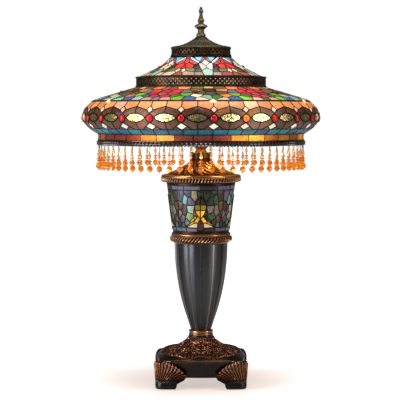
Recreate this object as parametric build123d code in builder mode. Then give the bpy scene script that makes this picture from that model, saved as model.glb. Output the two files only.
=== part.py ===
from build123d import *
import os
from math import cos, hypot, radians, sin

# A two-part lit table lamp. A leaded-glass shade with two pierced metal galleries and a bead
# fringe stands on a riser above a fluted metal vase. A mosaic glass urn between the two holds a
# small night light. One threaded pipe runs through the foot, the vase and the urn, and clamps
# them together. Millimetres, +Z up, the floor at Z = 0, the front faces -Y, the cord leaves at +Y.

# ---- driving dimensions ------------------------------------------------------------------
glass = 3.0  # thickness of the leaded glass
foil_gap = 0.5  # solder line left between two pieces of glass
sheet_metal = 1.4  # thickness of the spun and pierced metal
pipe_radius = 4.9  # M10x1 lamp pipe
pipe_bore = 3.6
pipe_hole = 5.1  # hole that the pipe passes through
stud_radius = 3.1  # 1/4 inch finial stud
shade_yaw = 5.9  # degrees that the shade is turned from square

pad_height = 1.5
plinth_bottom = 20.0
collar_bottom = 88.0
vase_bottom = 98.0
vase_top = 257.0
urn_bottom = 280.0
urn_top = 364.0
ring_top = 382.0
dish_bottom = 419.0
socket_height = 446.0
socket_tilt = 20.0  # degrees that the shade's sockets point above level
spider_bottom = 591.0
cap_bottom = 611.0
finial_bottom = 631.0
finial_top = 685.0

fringe_radius = 186.0
fringe_top = 436.0
strands_per_group = 4
fringe_groups = 16

facets = 48  # pieces round one row of the shade
jewels = 24  # eyes, and round cabochons between them, on the belt

# Outer profiles of the shade's glass as (radius, height): the crown between the two galleries, and
# below them the dome, the shoulder, the belt's three rows, the blue row and the amber band.
crown_profile = [(56.0, 593.0), (72.5, 578.5), (111.0, 559.2)]
shade_profile = [
    (119.6, 539.4),
    (193.0, 516.9),
    (206.8, 506.0),
    (213.6, 495.2),
    (213.6, 476.8),
    (205.5, 468.2),
    (186.4, 456.2),
    (186.4, 447.3),
]
dome_row, shoulder_row, upper_belt_row, eye_row, lower_belt_row, blue_row, amber_row = range(7)

# Outline of the plinth at each height: (height, half width at the side's ends, half width at its
# bowed middle, distance of the corner along X and along Y).
plinth_sections = [
    (20.0, 66.0, 70.0, 58.0),
    (35.0, 73.0, 77.0, 64.0),
    (50.0, 76.0, 79.5, 66.5),
    (56.0, 70.0, 74.5, 62.0),
    (61.0, 59.0, 65.0, 52.0),
    (65.0, 44.5, 50.0, 38.5),
    (70.0, 33.2, 39.6, 28.2),
    (78.0, 23.3, 28.2, 19.9),
    (88.0, 18.7, 22.6, 16.0),
]
side_share = 0.68  # where a side of the plinth ends and its corner begins

os.makedirs("parts", exist_ok=True)


def finish(piece, label):
    """Labels a finished piece and writes its STEP file."""
    piece.part.label = label
    export_step(piece.part, f"parts/{label}.step")


def turned(label, *outline):
    """A turned or spun piece: a closed outline of (radius, height) points, spun about Z."""
    with BuildPart() as piece:
        with BuildSketch(Plane.XZ):
            with BuildLine():
                Polyline(*outline, close=True)
            make_face()
        revolve(axis=Axis.Z)
    finish(piece, label)


def inner_profile(points, depth):
    """The profile offset inwards by depth, with mitred corners between its straight stretches."""
    ways = []
    for (r0, z0), (r1, z1) in zip(points, points[1:]):
        length = hypot(r1 - r0, z1 - z0)
        ways.append(((z1 - z0) / length, (r0 - r1) / length))
    moved = []
    for i, (r, z) in enumerate(points):
        before = ways[max(i - 1, 0)]
        after = ways[min(i, len(ways) - 1)]
        share = depth / (1 + before[0] * after[0] + before[1] * after[1])
        moved.append((r + share * (before[0] + after[0]), z + share * (before[1] + after[1])))
    return moved


def glass_piece(outer, inner, half_angle, gap=foil_gap):
    """One flat piece of glass facing +X: the quadrilateral between two outer and two inner
    profile points, as wide as a wedge of half_angle each side of the X axis."""
    (r0, z0), (r1, z1) = outer
    (s0, y0), (s1, y1) = inner
    shrink = gap / 2 / hypot(r1 - r0, z1 - z0)
    reach = max(r0, r1)
    with BuildPart(mode=Mode.PRIVATE) as piece:
        with BuildSketch(Plane.XZ):
            with BuildLine():
                Polyline(
                    (r0 + shrink * (r1 - r0), z0 + shrink * (z1 - z0)),
                    (r1 + shrink * (r0 - r1), z1 + shrink * (z0 - z1)),
                    (s1 + shrink * (s0 - s1), y1 + shrink * (y0 - y1)),
                    (s0 + shrink * (s1 - s0), y0 + shrink * (y1 - y0)),
                    close=True,
                )
            make_face()
        extrude(amount=reach * sin(radians(half_angle)) + 5, both=True)
        for side in (1, -1):
            inwards = Vector(sin(radians(half_angle)), -side * cos(radians(half_angle)), 0)
            split(bisect_by=Plane(origin=inwards * (gap / 2), z_dir=inwards), keep=Keep.TOP)
    return piece.part


def glass_panes(profile, row, half_angle):
    """One pane of a profile's row, mitred to the rows above and below it."""
    inside = inner_profile(profile, glass)
    return glass_piece(profile[row : row + 2], inside[row : row + 2], half_angle)


def glass_rows(label, profile, rows, count, phase=0.0):
    """Rows of flat glass between a profile's points, count pieces round, as one node."""
    panes = [glass_panes(profile, row, 180 / count) for row in rows]
    with BuildPart() as piece:
        with PolarLocations(0, count, start_angle=phase):
            for pane in panes:
                add(pane)
    finish(piece, label)


def plinth_outline(height, side, middle, corner, shrink=0.0):
    """The plinth's outline at one height: four bowed sides and four round corners."""
    side, middle, corner = side - shrink, middle - shrink, corner - 0.7 * shrink
    end = side_share * side
    with BuildSketch(Plane.XY.offset(height), mode=Mode.PRIVATE) as sketch:
        with BuildLine():
            for quarter in range(4):
                a = radians(90 * quarter)
                points = [(-end, -side), (0, -middle), (end, -side), (corner, -corner), (side, -end)]
                spun = [(x * cos(a) - y * sin(a), x * sin(a) + y * cos(a)) for x, y in points]
                ThreePointArc(*spun[:3])
                ThreePointArc(*spun[2:])
        make_face()
    return sketch.sketch


# ---- foot --------------------------------------------------------------------------------
# Felt pads keep the four feet off the table.
foot_centre = 62.0
pad_radius = 9.0
with BuildPart() as pads:
    with BuildSketch():
        with GridLocations(2 * foot_centre, 2 * foot_centre, 2, 2):
            Circle(pad_radius)
    extrude(amount=pad_height)
finish(pads, "felt_pads")

# The solid outer form of the plinth, and the smaller form of the hollow inside it.
wall = 5.0
with BuildPart() as plinth_form:
    for section in plinth_sections:
        add(plinth_outline(*section))
    loft(ruled=True)
with BuildPart() as hollow_form:
    for section in plinth_sections[:-2]:
        add(plinth_outline(*section, shrink=wall + 2))
    loft(ruled=True)

# The foot casting: hollow, with a ledge for the clamp plate, a hole for the pipe, and at the back
# a flat spot face with a hole for the cord.
plate_ledge = 26.0
cord_height = 42.0
back_wall = 76.0
bush_radius = 6.0
flange_radius = 8.6
with BuildPart() as casting:
    add(plinth_form.part)
    add(hollow_form.part, mode=Mode.SUBTRACT)
    add(plinth_outline(plinth_bottom, 60.0, 64.0, 53.0))
    extrude(amount=plate_ledge - plinth_bottom, mode=Mode.SUBTRACT)
    with Locations((0, 0, collar_bottom)):
        Cylinder(pipe_hole, 60, mode=Mode.SUBTRACT)
    with BuildSketch(Plane(origin=(0, back_wall, cord_height), z_dir=(0, 1, 0))):
        Circle(flange_radius + 0.4)
    extrude(amount=10, mode=Mode.SUBTRACT)
    with BuildSketch(Plane(origin=(0, back_wall - 16, cord_height), z_dir=(0, 1, 0))):
        Circle(bush_radius + 0.1)
    extrude(amount=30, mode=Mode.SUBTRACT)
finish(casting, "foot_casting")

# Four shell feet wrap the plinth's corners. Each is a block that narrows to its toe, cut back to
# the plinth's form: (height, nearest, furthest) along X and along Y.
foot_sections = [
    (pad_height, 46.0, 81.5),
    (10.0, 42.0, 82.0),
    (20.0, 34.0, 82.5),
    (30.0, 25.0, 84.5),
    (40.0, 33.0, 84.5),
    (50.0, 50.0, 82.0),
]
with BuildPart() as one_foot:
    for height, near, far in foot_sections:
        with BuildSketch(Plane.XY.offset(height)):
            with Locations(((near + far) / 2, (near + far) / 2)):
                RectangleRounded(far - near, far - near, (far - near) * 0.32)
    loft(ruled=True)
    add(plinth_form.part, mode=Mode.SUBTRACT)
with BuildPart() as feet:
    with PolarLocations(0, 4):
        add(one_foot.part)
finish(feet, "shell_feet")

# A steel plate closes the casting and takes the pipe's nut, and a cast-iron disc gives weight.
plate_thickness = 3.0
with BuildPart() as clamp_plate:
    add(plinth_outline(plate_ledge - plate_thickness, 59.5, 63.5, 52.6))
    extrude(amount=plate_thickness)
    Cylinder(pipe_hole, 4 * plate_ledge, mode=Mode.SUBTRACT)
finish(clamp_plate, "clamp_plate")

ballast_radius = 50.0
ballast_top = plate_ledge + 9.0
turned(
    "ballast_disc",
    (6.5, plate_ledge),
    (ballast_radius, plate_ledge),
    (ballast_radius, ballast_top - 2),
    (ballast_radius - 2, ballast_top),
    (6.5, ballast_top),
)

# A flanged nut on the pipe's end clamps the whole column together.
nut_height = 6.5
flange_height = 1.5
nut_bottom = plate_ledge - plate_thickness - nut_height
with BuildPart() as clamp_nut:
    with BuildSketch(Plane.XY.offset(nut_bottom)):
        RegularPolygon(8.0, 6)
    extrude(amount=nut_height)
    chamfer(clamp_nut.faces().sort_by(Axis.Z)[0].edges(), 0.7)
    with BuildSketch(Plane.XY.offset(nut_bottom + nut_height - flange_height)):
        Circle(11.5)
    extrude(amount=flange_height)
    Cylinder(pipe_radius + 0.05, 4 * plate_ledge, mode=Mode.SUBTRACT)
finish(clamp_nut, "clamp_nut")

# The cord's bush: a flanged sleeve in the back wall.
bush_bore = 3.4
sleeve = 10.0
with BuildPart() as bush:
    with BuildSketch(Plane(origin=(0, back_wall - sleeve, cord_height), z_dir=(0, 1, 0))):
        Circle(bush_radius)
        Circle(bush_bore, mode=Mode.SUBTRACT)
    extrude(amount=sleeve)
    with BuildSketch(Plane(origin=(0, back_wall, cord_height), z_dir=(0, 1, 0))):
        Circle(flange_radius)
        Circle(bush_bore, mode=Mode.SUBTRACT)
    extrude(amount=2.6)
    fillet(bush.faces().sort_by(Axis.Y)[-1].outer_wire().edges(), 1.2)
finish(bush, "cord_bush")

# ---- column ------------------------------------------------------------------------------
turned(
    "neck_collar",
    (pipe_hole, collar_bottom),
    (21.0, collar_bottom),
    (22.4, collar_bottom + 1.6),
    (22.4, collar_bottom + 3.2),
    (20.6, collar_bottom + 4.2),
    (20.6, collar_bottom + 5.4),
    (22.0, collar_bottom + 6.4),
    (22.0, collar_bottom + 8.2),
    (20.4, vase_bottom),
    (pipe_hole, vase_bottom),
)

# The vase: twelve hollow flutes between narrow ribs, lofted through (height, rib radius).
flutes = 12
rib_angle = 2.6  # half the angle that a rib takes
flute_depth = 0.955  # radius at the bottom of a flute, as a share of the rib's
vase_sections = [
    (vase_bottom, 18.6),
    (114.0, 23.6),
    (136.0, 30.8),
    (164.0, 38.2),
    (194.0, 43.7),
    (226.0, 47.2),
    (vase_top, 48.6),
]
with BuildPart() as vase:
    for height, radius in vase_sections:
        with BuildSketch(Plane.XY.offset(height)):
            with BuildLine():
                for k in range(flutes):
                    turn = 360 / flutes * k - 90
                    stops = (turn - rib_angle, turn + rib_angle)
                    half = turn + 180 / flutes
                    after = turn + 360 / flutes - rib_angle
                    a, b, d = (
                        (radius * cos(radians(x)), radius * sin(radians(x))) for x in (*stops, after)
                    )
                    deep = radius * flute_depth
                    c = (deep * cos(radians(half)), deep * sin(radians(half)))
                    Line(a, b)
                    ThreePointArc(b, c, d)
            make_face()
    loft()
    with BuildSketch(Plane.XZ):
        with BuildLine():
            Polyline(
                (0, vase_bottom + 8),
                (15.0, vase_bottom + 8),
                (24.0, 136.0),
                (31.0, 164.0),
                (39.5, 226.0),
                (41.0, vase_top - 4),
                (0, vase_top - 4),
                close=True,
            )
        make_face()
    revolve(axis=Axis.Z, mode=Mode.SUBTRACT)
    Cylinder(pipe_hole, 4 * vase_top, mode=Mode.SUBTRACT)
finish(vase, "fluted_vase")

# Rope-edged ring on the vase, which the urn stands in.
turned(
    "lower_rope_ring",
    (pipe_hole, vase_top),
    (50.0, vase_top),
    (51.5, 260.0),
    (53.5, 262.0),
    (55.4, 265.5),
    (54.4, 269.0),
    (52.0, 272.0),
    (51.5, 275.0),
    (49.0, 277.0),
    (40.0, 277.0),
    (38.0, 262.0),
    (pipe_hole, 262.0),
)

# The urn's glass, between two brass channels.
urn_low_radius = 50.6
urn_high_radius = 61.6
urn_panes = 24
urn_profile = [(urn_high_radius, urn_top), (urn_low_radius, urn_bottom)]
glass_rows("urn_glass", urn_profile, [0], urn_panes)
with BuildPart() as channels:
    with BuildSketch(Plane.XY.offset(urn_bottom - 3.0)):
        Circle(51.2)
        Circle(44.0, mode=Mode.SUBTRACT)
    extrude(amount=2.7)
    with BuildSketch(Plane.XY.offset(urn_top + 0.3)):
        Circle(62.6)
        Circle(56.0, mode=Mode.SUBTRACT)
    extrude(amount=3.2)
finish(channels, "urn_channels")

# The night light stands on a small bracket beside the pipe.
night_x = 22.0
bracket_z = 262.0
with BuildPart() as bracket:
    with BuildSketch(Plane.XY.offset(bracket_z)):
        with Locations((night_x / 2, 0)):
            SlotCenterToCenter(night_x, 16)
        Circle(pipe_hole, mode=Mode.SUBTRACT)
    extrude(amount=1.6)
finish(bracket, "night_bracket")

with BuildPart() as night_socket:
    with BuildSketch(Plane(origin=(night_x, 0, bracket_z + 1.6))):
        Circle(8.5)
    extrude(amount=30)
    with BuildSketch(Plane(origin=(night_x, 0, bracket_z + 11.6))):
        Circle(6.3)
    extrude(amount=20.1, mode=Mode.SUBTRACT)
finish(night_socket, "night_socket")

# Rope-edged ring on the urn, and the pierced bell that vents it.
turned(
    "upper_rope_ring",
    (52.0, urn_top + 3.5),
    (65.5, urn_top + 3.5),
    (70.5, 370.0),
    (72.8, 374.0),
    (72.0, 377.5),
    (69.0, 380.5),
    (63.0, ring_top),
    (52.0, ring_top),
)
bell_profile = [
    (16.6, dish_bottom),
    (16.6, 411.0),
    (21.0, 404.0),
    (30.0, 396.0),
    (42.0, 389.5),
    (60.0, ring_top),
]
bell_slots = 12
bell_inner = inner_profile(bell_profile, sheet_metal)
bell_inner[-1] = (56.0, ring_top)
with BuildPart() as bell:
    with BuildSketch(Plane.XZ):
        with BuildLine():
            Polyline(*bell_profile, *reversed(bell_inner), close=True)
        make_face()
    revolve(axis=Axis.Z)
    with BuildSketch(Plane.XY.offset(ring_top)):
        with PolarLocations(36, bell_slots, start_angle=15):
            SlotOverall(18, 5)
    extrude(amount=25, mode=Mode.SUBTRACT)
finish(bell, "vent_bell")

# The cluster that carries the two sockets, on a drip dish that closes the bell's neck.
cluster_top = socket_height + 16
turned(
    "socket_cluster",
    (pipe_hole, dish_bottom),
    (17.0, dish_bottom),
    (20.4, dish_bottom + 1.6),
    (21.0, dish_bottom + 3.4),
    (19.4, dish_bottom + 4.4),
    (11.0, dish_bottom + 3.8),
    (8.5, dish_bottom + 8),
    (15.0, dish_bottom + 15),
    (16.0, socket_height),
    (13.0, socket_height + 9),
    (8.0, cluster_top - 3),
    (8.0, cluster_top),
    (pipe_hole, cluster_top),
)

# ---- the pipe, the riser and the wire inside -----------------------------------------------
pipe_bottom = nut_bottom - 1.5
wire_slot = 50.0
with BuildPart() as pipe:
    with BuildSketch(Plane.XY.offset(pipe_bottom)):
        Circle(pipe_radius)
        Circle(pipe_bore, mode=Mode.SUBTRACT)
    extrude(amount=cluster_top - pipe_bottom)
    with Locations((0, pipe_radius, wire_slot + 8)):
        Box(7.0, 2 * pipe_radius, 30, mode=Mode.SUBTRACT)
finish(pipe, "lamp_pipe")

riser_top = spider_bottom - 6.0
with BuildPart() as riser:
    with BuildSketch(Plane.XY.offset(cluster_top)):
        Circle(pipe_radius)
        Circle(pipe_bore, mode=Mode.SUBTRACT)
    extrude(amount=riser_top - cluster_top)
finish(riser, "riser_pipe")

with BuildPart() as seat:
    with BuildSketch(Plane.XY.offset(riser_top)):
        RegularPolygon(8.0, 6)
        Circle(stud_radius, mode=Mode.SUBTRACT)
    extrude(amount=spider_bottom - riser_top)
finish(seat, "riser_seat_nut")

stud_bottom = riser_top - 14
stud_top = finial_bottom + 17
turned("finial_stud", (0, stud_bottom), (stud_radius, stud_bottom), (stud_radius, stud_top), (0, stud_top))

wire_radius = 2.1
wire_route = [
    (0, back_wall - sleeve - 1, cord_height),
    (0, 36, cord_height + 4),
    (0, 10, cord_height + 5),
    (0, 0, 62),
    (0, 0, dish_bottom + 25),
]
with BuildPart() as wire:
    with BuildLine() as wire_line:
        FilletPolyline(*wire_route, radius=[14, 11, 9])
    with BuildSketch(Plane(wire_line.line @ 0, z_dir=wire_line.line % 0)):
        Circle(wire_radius)
    sweep()
finish(wire, "inner_wire")

# ---- sockets and bulbs ---------------------------------------------------------------------
# Lengths along a socket are measured from where its cap begins.
socket_start = 17.0
cap_length = 17.0
shell_end = 51.0
shell_radius = 17.4
knob_along = 33.0
bulb_start = 49.0
bulb_centre = 109.0
bulb_radius = 29.0
bulb_wall = 1.2
night_base = bracket_z + 12.0
night_glass = night_base + 21.0

cap_outline = [
    (0, 1.2),
    (6.5, 1.2),
    (9.5, 6.0),
    (15.5, 9.5),
    (18.3, cap_length),
    (17.0, cap_length),
    (14.5, 11.0),
    (8.5, 7.4),
    (0, 7.4),
]
shell_outline = [
    (shell_radius, cap_length),
    (shell_radius, shell_end - 3),
    (shell_radius + 1, shell_end),
    (shell_radius - 0.3, shell_end),
    (shell_radius - 1.2, shell_end - 3),
    (shell_radius - 1.2, cap_length),
]
core_outline = [
    (0, cap_length - 4),
    (12.0, cap_length - 4),
    (15.6, cap_length),
    (15.6, shell_end - 5),
    (13.5, shell_end - 5),
    (13.5, cap_length + 7),
    (0, cap_length + 7),
]
base_outline = [
    (0, cap_length + 7.4),
    (5.0, cap_length + 7.4),
    (12.9, cap_length + 11),
    (12.9, bulb_start),
    (0, bulb_start),
]

sides = {"left": -1, "right": 1}
run, climb = cos(radians(socket_tilt)), sin(radians(socket_tilt))
ways = {name: Vector(side * run, 0, climb) for name, side in sides.items()}
roots = {name: Vector(side * socket_start, 0, socket_height) for name, side in sides.items()}
knob_seats = {name: roots[name] + ways[name] * knob_along for name in sides}


def lengthwise(name):
    """The plane through a socket's axis: X is the distance from that axis, Y the length along it."""
    across = Vector(ways[name].Z * sides[name], 0, -ways[name].X * sides[name])
    return Plane(origin=roots[name], x_dir=across, z_dir=across.cross(ways[name]))


def turned_pair(*outline):
    """The same turned form on both sockets' axes."""
    with BuildPart() as pair:
        for name in sides:
            with BuildSketch(lengthwise(name)):
                with BuildLine():
                    Polyline(*outline, close=True)
                make_face()
            revolve(axis=Axis(roots[name], ways[name]))
    return pair


finish(turned_pair(*cap_outline), "socket_caps")
finish(turned_pair(*core_outline), "socket_cores")

# A hole in each brass shell lets its switch's spindle out to the front.
shell_pair = turned_pair(*shell_outline)
with BuildPart() as shells:
    add(shell_pair.part)
    for seat in knob_seats.values():
        with BuildSketch(Plane(origin=seat, z_dir=(0, -1, 0))):
            Circle(3.0)
        extrude(amount=2 * shell_radius, mode=Mode.SUBTRACT)
finish(shells, "socket_shells")

for name, seat in knob_seats.items():
    with BuildPart() as knob:
        with BuildSketch(Plane(origin=seat + Vector(0, -16.0, 0), z_dir=(0, -1, 0))):
            Circle(2.0)
        extrude(amount=12)
        with BuildSketch(Plane(origin=seat + Vector(0, -23.0, 0), z_dir=(0, -1, 0))):
            SlotOverall(16, 6.5)
        extrude(amount=7)
    finish(knob, f"switch_knob_{name}")

# Screw bases and glass of the two bulbs and the night light's small bulb.
base_pair = turned_pair(*base_outline)
with BuildPart() as bases:
    add(base_pair.part)
    with BuildSketch(Plane.XY.offset(night_base)):
        with Locations((night_x, 0)):
            Circle(5.9)
    extrude(amount=night_glass - night_base)
finish(bases, "bulb_bases")

with BuildPart() as bulbs:
    for name in sides:
        with BuildSketch(lengthwise(name)):
            with BuildLine():
                for inset in (0, bulb_wall):
                    radius = bulb_radius - inset
                    swell = (radius * 0.8, bulb_centre - radius * 0.6)
                    Polyline((13.2 - inset, bulb_start), (13.8 - inset, bulb_start + 8), swell)
                    ThreePointArc(swell, (radius, bulb_centre), (0, bulb_centre + radius))
                Line((13.2 - bulb_wall, bulb_start), (13.2, bulb_start))
                Line((0, bulb_centre + bulb_radius - bulb_wall), (0, bulb_centre + bulb_radius))
            make_face()
        revolve(axis=Axis(roots[name], ways[name]))
    with BuildSketch(Plane(origin=(night_x, 0, night_glass), x_dir=(1, 0, 0), z_dir=(0, -1, 0))):
        with BuildLine():
            Line((0, 0), (5.6, 0))
            Spline((5.6, 0), (10.4, 17), (6.0, 33), (0, 38))
            Line((0, 38), (0, 0))
        make_face()
    revolve(axis=Axis((night_x, 0, 0), (0, 0, 1)))
finish(bulbs, "bulbs")

# ---- shade -------------------------------------------------------------------------------
# A four-armed spider sits on the riser's nut and carries the shade by the ring at its arms' ends.
ring_inner = 47.0
spider_thickness = 2.5
with BuildPart() as spider:
    with BuildSketch(Plane.XY.offset(spider_bottom)):
        Circle(11)
        with PolarLocations(0, 4, start_angle=45 + shade_yaw):
            with Locations((ring_inner / 2, 0)):
                Rectangle(ring_inner + 2, 7)
        Circle(stud_radius + 0.1, mode=Mode.SUBTRACT)
    extrude(amount=spider_thickness)
    with BuildSketch(Plane.XZ):
        with BuildLine():
            Polyline(
                (ring_inner, spider_bottom),
                (51.5, spider_bottom),
                (55.5, spider_bottom + 4),
                (55.5, spider_bottom + 6),
                (ring_inner, spider_bottom + 6),
                close=True,
            )
        make_face()
    revolve(axis=Axis.Z)
finish(spider, "shade_spider")


def gallery_points(radius, low, high, lip):
    """A pierced band of sheet metal with a rolled bead at its foot and at its head."""
    bead = 1.3
    return [
        (radius - sheet_metal, low),
        (radius + bead, low),
        (radius + bead, low + 2 * bead),
        (radius, low + 2 * bead),
        (radius, high - 2 * bead),
        (radius + bead, high - 2 * bead),
        (radius + bead, high),
        (lip, high),
        (lip, high - sheet_metal),
        (radius - sheet_metal, high - sheet_metal),
    ]


turned("upper_gallery", *gallery_points(53.2, spider_bottom + 6, cap_bottom, 48.0))
turned("lower_gallery", *gallery_points(118.0, 539.8, 558.8, 112.4))

glass_rows("crown_glass", crown_profile, [0, 1], 24, shade_yaw)
glass_rows("dome_glass", shade_profile, [dome_row], facets, shade_yaw)
glass_rows("shoulder_glass", shade_profile, [shoulder_row], facets, shade_yaw)
glass_rows("blue_glass", shade_profile, [blue_row], facets, shade_yaw)
glass_rows("amber_glass", shade_profile, [amber_row], 36, shade_yaw)

# The belt: plain rows above and below, and a middle row with a wide plate behind each eye and a
# narrow one behind each cabochon.
wide_half = 4.9
narrow_half = 180 / jewels - wide_half
belt_panes = [glass_panes(shade_profile, row, 180 / facets) for row in (upper_belt_row, lower_belt_row)]
wide_pane = glass_panes(shade_profile, eye_row, wide_half)
narrow_pane = glass_panes(shade_profile, eye_row, narrow_half)
with BuildPart() as belt:
    with PolarLocations(0, facets, start_angle=shade_yaw):
        for pane in belt_panes:
            add(pane)
    with PolarLocations(0, jewels, start_angle=shade_yaw):
        add(narrow_pane)
    with PolarLocations(0, jewels, start_angle=shade_yaw + 180 / jewels):
        add(wide_pane)
finish(belt, "belt_glass")

# Pressed-glass eyes and round cabochons, flat-backed, seated on those plates.
belt_radius = shade_profile[eye_row][0]
belt_middle = (shade_profile[eye_row][1] + shade_profile[eye_row + 1][1]) / 2
eye_length = 33.0
eye_height = 15.0
eye_rise = 3.4
cabochon_radius = 6.0
cabochon_rise = 4.2
with BuildPart() as round_eye:
    with BuildSketch(Plane.XZ):
        with BuildLine():
            Line((-eye_length / 2, 0), (eye_length / 2, 0))
            ThreePointArc((eye_length / 2, 0), (0, eye_height / 2), (-eye_length / 2, 0))
        make_face()
    revolve(axis=Axis.X)
    split(bisect_by=Plane.XY, keep=Keep.TOP)
flat_eye = scale(round_eye.part, by=(1, 1, 2 * eye_rise / eye_height), mode=Mode.PRIVATE)


def belt_seat(turn):
    """The plane on the belt at a turn from the shade's first cabochon: X runs round the shade."""
    out = Vector(cos(radians(turn + shade_yaw)), sin(radians(turn + shade_yaw)), 0)
    return Plane(origin=out * belt_radius + Vector(0, 0, belt_middle), x_dir=(-out.Y, out.X, 0), z_dir=out)


with BuildPart() as eyes:
    for k in range(jewels):
        add(belt_seat(360 / jewels * (k + 0.5)).location * flat_eye)
finish(eyes, "eye_jewels")

with BuildPart() as cabochons:
    for k in range(jewels):
        with BuildSketch(belt_seat(360 / jewels * k)):
            Circle(cabochon_radius)
    extrude(amount=cabochon_rise, taper=28)
finish(cabochons, "round_cabochons")

turned("rim_channel", (181.6, 441.2), (188.0, 441.2), (188.0, 447.0), (181.6, 447.0))
turned("fringe_braid", (183.6, 437.2), (188.4, 437.2), (188.4, 441.2), (183.6, 441.2))

# ---- fringe ------------------------------------------------------------------------------
# Each strand is one turned form here: a loop, a pin, a clear drop, two amber discs and a ball.
strand_pitch = 360 / (strands_per_group * fringe_groups)
ball_radius = 5.4
ball_middle = fringe_top - 38.0
with BuildPart() as strand:
    with BuildSketch(Plane.XZ):
        with BuildLine():
            Polyline(
                (0, fringe_top),
                (1.1, fringe_top - 0.6),
                (1.1, fringe_top - 2.2),
                (0.5, fringe_top - 2.8),
                (0.5, fringe_top - 10.5),
                (1.2, fringe_top - 11.5),
                (2.7, fringe_top - 20.0),
                (1.6, fringe_top - 22.0),
                (4.1, fringe_top - 23.2),
                (4.1, fringe_top - 26.4),
                (1.6, fringe_top - 27.4),
                (4.0, fringe_top - 28.6),
                (4.0, fringe_top - 31.2),
                (1.8, fringe_top - 32.4),
                (4.4, ball_middle + 3.2),
            )
            ThreePointArc((4.4, ball_middle + 3.2), (ball_radius, ball_middle), (1.2, ball_middle - 5.2))
            Polyline((1.2, ball_middle - 5.2), (0.9, fringe_top - 44.6), (0, fringe_top - 44.8))
            Line((0, fringe_top - 44.8), (0, fringe_top))
        make_face()
    revolve(axis=Axis.Z)
for group in range(fringe_groups):
    with BuildPart() as fringe:
        for k in range(strands_per_group):
            bearing = radians(-90 + strand_pitch * (group * strands_per_group + k))
            place = (fringe_radius * cos(bearing), fringe_radius * sin(bearing), 0)
            with Locations(place):
                add(strand.part)
    finish(fringe, f"fringe_{group + 1:02d}")

# ---- cap and finial ------------------------------------------------------------------------
turned(
    "heat_cap",
    (stud_radius + 0.1, finial_bottom),
    (9.0, finial_bottom),
    (13.0, 627.5),
    (22.0, 621.5),
    (34.0, 616.6),
    (45.0, 614.6),
    (53.0, 612.8),
    (54.6, cap_bottom),
    (51.0, cap_bottom),
    (44.0, 612.8),
    (33.0, 614.8),
    (21.0, 619.8),
    (11.8, 626.2),
    (8.4, finial_bottom - 1.8),
    (stud_radius + 0.1, finial_bottom - 1.8),
)

# The finial: a blind hole for the stud, a foot, a stem, a knop, and a slender tip.
with BuildPart() as finial:
    with BuildSketch(Plane.XZ):
        with BuildLine():
            Polyline(
                (0, finial_top),
                (2.4, finial_top - 1.2),
                (2.8, finial_top - 3.4),
                (4.3, finial_top - 6.5),
                (4.3, finial_top - 10.0),
                (3.0, finial_top - 13.0),
                (4.4, finial_top - 20.5),
                (6.2, finial_top - 24.0),
                (6.2, finial_top - 26.4),
                (4.8, finial_top - 29.5),
                (8.0, finial_top - 31.4),
                (11.6, finial_top - 34.0),
                (11.6, finial_top - 36.4),
                (8.0, finial_top - 39.4),
                (5.8, finial_top - 41.0),
                (5.8, finial_top - 47.0),
                (8.6, finial_top - 49.0),
                (8.6, finial_top - 51.0),
                (7.4, finial_bottom),
                (0, finial_bottom),
                close=True,
            )
        make_face()
    revolve(axis=Axis.Z)
    with Locations((0, 0, finial_bottom)):
        Cylinder(stud_radius + 0.06, 37.0, mode=Mode.SUBTRACT)
finish(finial, "finial")
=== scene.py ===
# %% [markdown]
# This lamp has a leaded-glass shade with a bead fringe, a mosaic glass urn, a fluted metal vase and
# a cast foot. The CAD model already holds every joint and every size. This script loads it as a
# fixed frame and makes the surfaces that a person sees. Lengths below are in millimetres, as on a
# maker's drawing, and become metres only where a mesh is written.

# %% The frame
import math
import bpy
import numpy as np
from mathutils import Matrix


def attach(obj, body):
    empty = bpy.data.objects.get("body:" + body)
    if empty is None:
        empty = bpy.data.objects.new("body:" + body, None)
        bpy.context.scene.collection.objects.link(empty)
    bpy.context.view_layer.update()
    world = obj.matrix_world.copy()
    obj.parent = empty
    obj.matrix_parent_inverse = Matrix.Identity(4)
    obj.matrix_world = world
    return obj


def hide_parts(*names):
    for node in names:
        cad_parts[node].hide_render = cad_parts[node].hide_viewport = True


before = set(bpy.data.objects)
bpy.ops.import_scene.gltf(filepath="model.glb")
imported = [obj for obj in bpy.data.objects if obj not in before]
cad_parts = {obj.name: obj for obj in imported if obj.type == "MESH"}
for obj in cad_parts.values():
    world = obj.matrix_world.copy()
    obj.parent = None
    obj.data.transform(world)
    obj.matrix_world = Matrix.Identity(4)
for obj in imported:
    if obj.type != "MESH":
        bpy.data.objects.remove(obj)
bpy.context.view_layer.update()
MM = 0.001


# %% [markdown]
# Colours are written as the 0-255 numbers that a paint program shows. A renderer adds up light, so
# it needs them on a linear scale, and this helper changes one to the other.

# %% Colours
def linear(red, green, blue):
    """Each share c of 255 becomes ((c + 0.055) / 1.055) to the power 2.4, or c / 12.92 when small."""
    share = np.array((red, green, blue), float) / 255
    curve = np.where(share < 0.04045, share / 12.92, ((share + 0.055) / 1.055) ** 2.4)
    return (*(float(c) for c in curve), 1.0)


print("mid grey is", round(linear(128, 128, 128)[0], 3))


# %% [markdown]
# A shape in this script is a pair: an array of points, and a list of face blocks. All faces in a
# block have the same number of corners, so a block is one whole numpy array. Most surfaces are a
# grid of points with four-cornered faces between neighbours.

# %% Grids and lines
def grid_faces(rows, columns, close_rows=False, close_columns=True):
    """Face (i, j) joins points (i, j), (i, j+1), (i+1, j+1), (i+1, j), counted on past an edge."""
    i = np.arange(rows if close_rows else rows - 1)[:, None]
    j = np.arange(columns if close_columns else columns - 1)[None, :]
    up = (i + 1) % rows
    on = (j + 1) % columns
    corners = (i * columns + j, i * columns + on, up * columns + on, up * columns + j)
    return np.stack(np.broadcast_arrays(*corners), -1).reshape(-1, 4)


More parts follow.
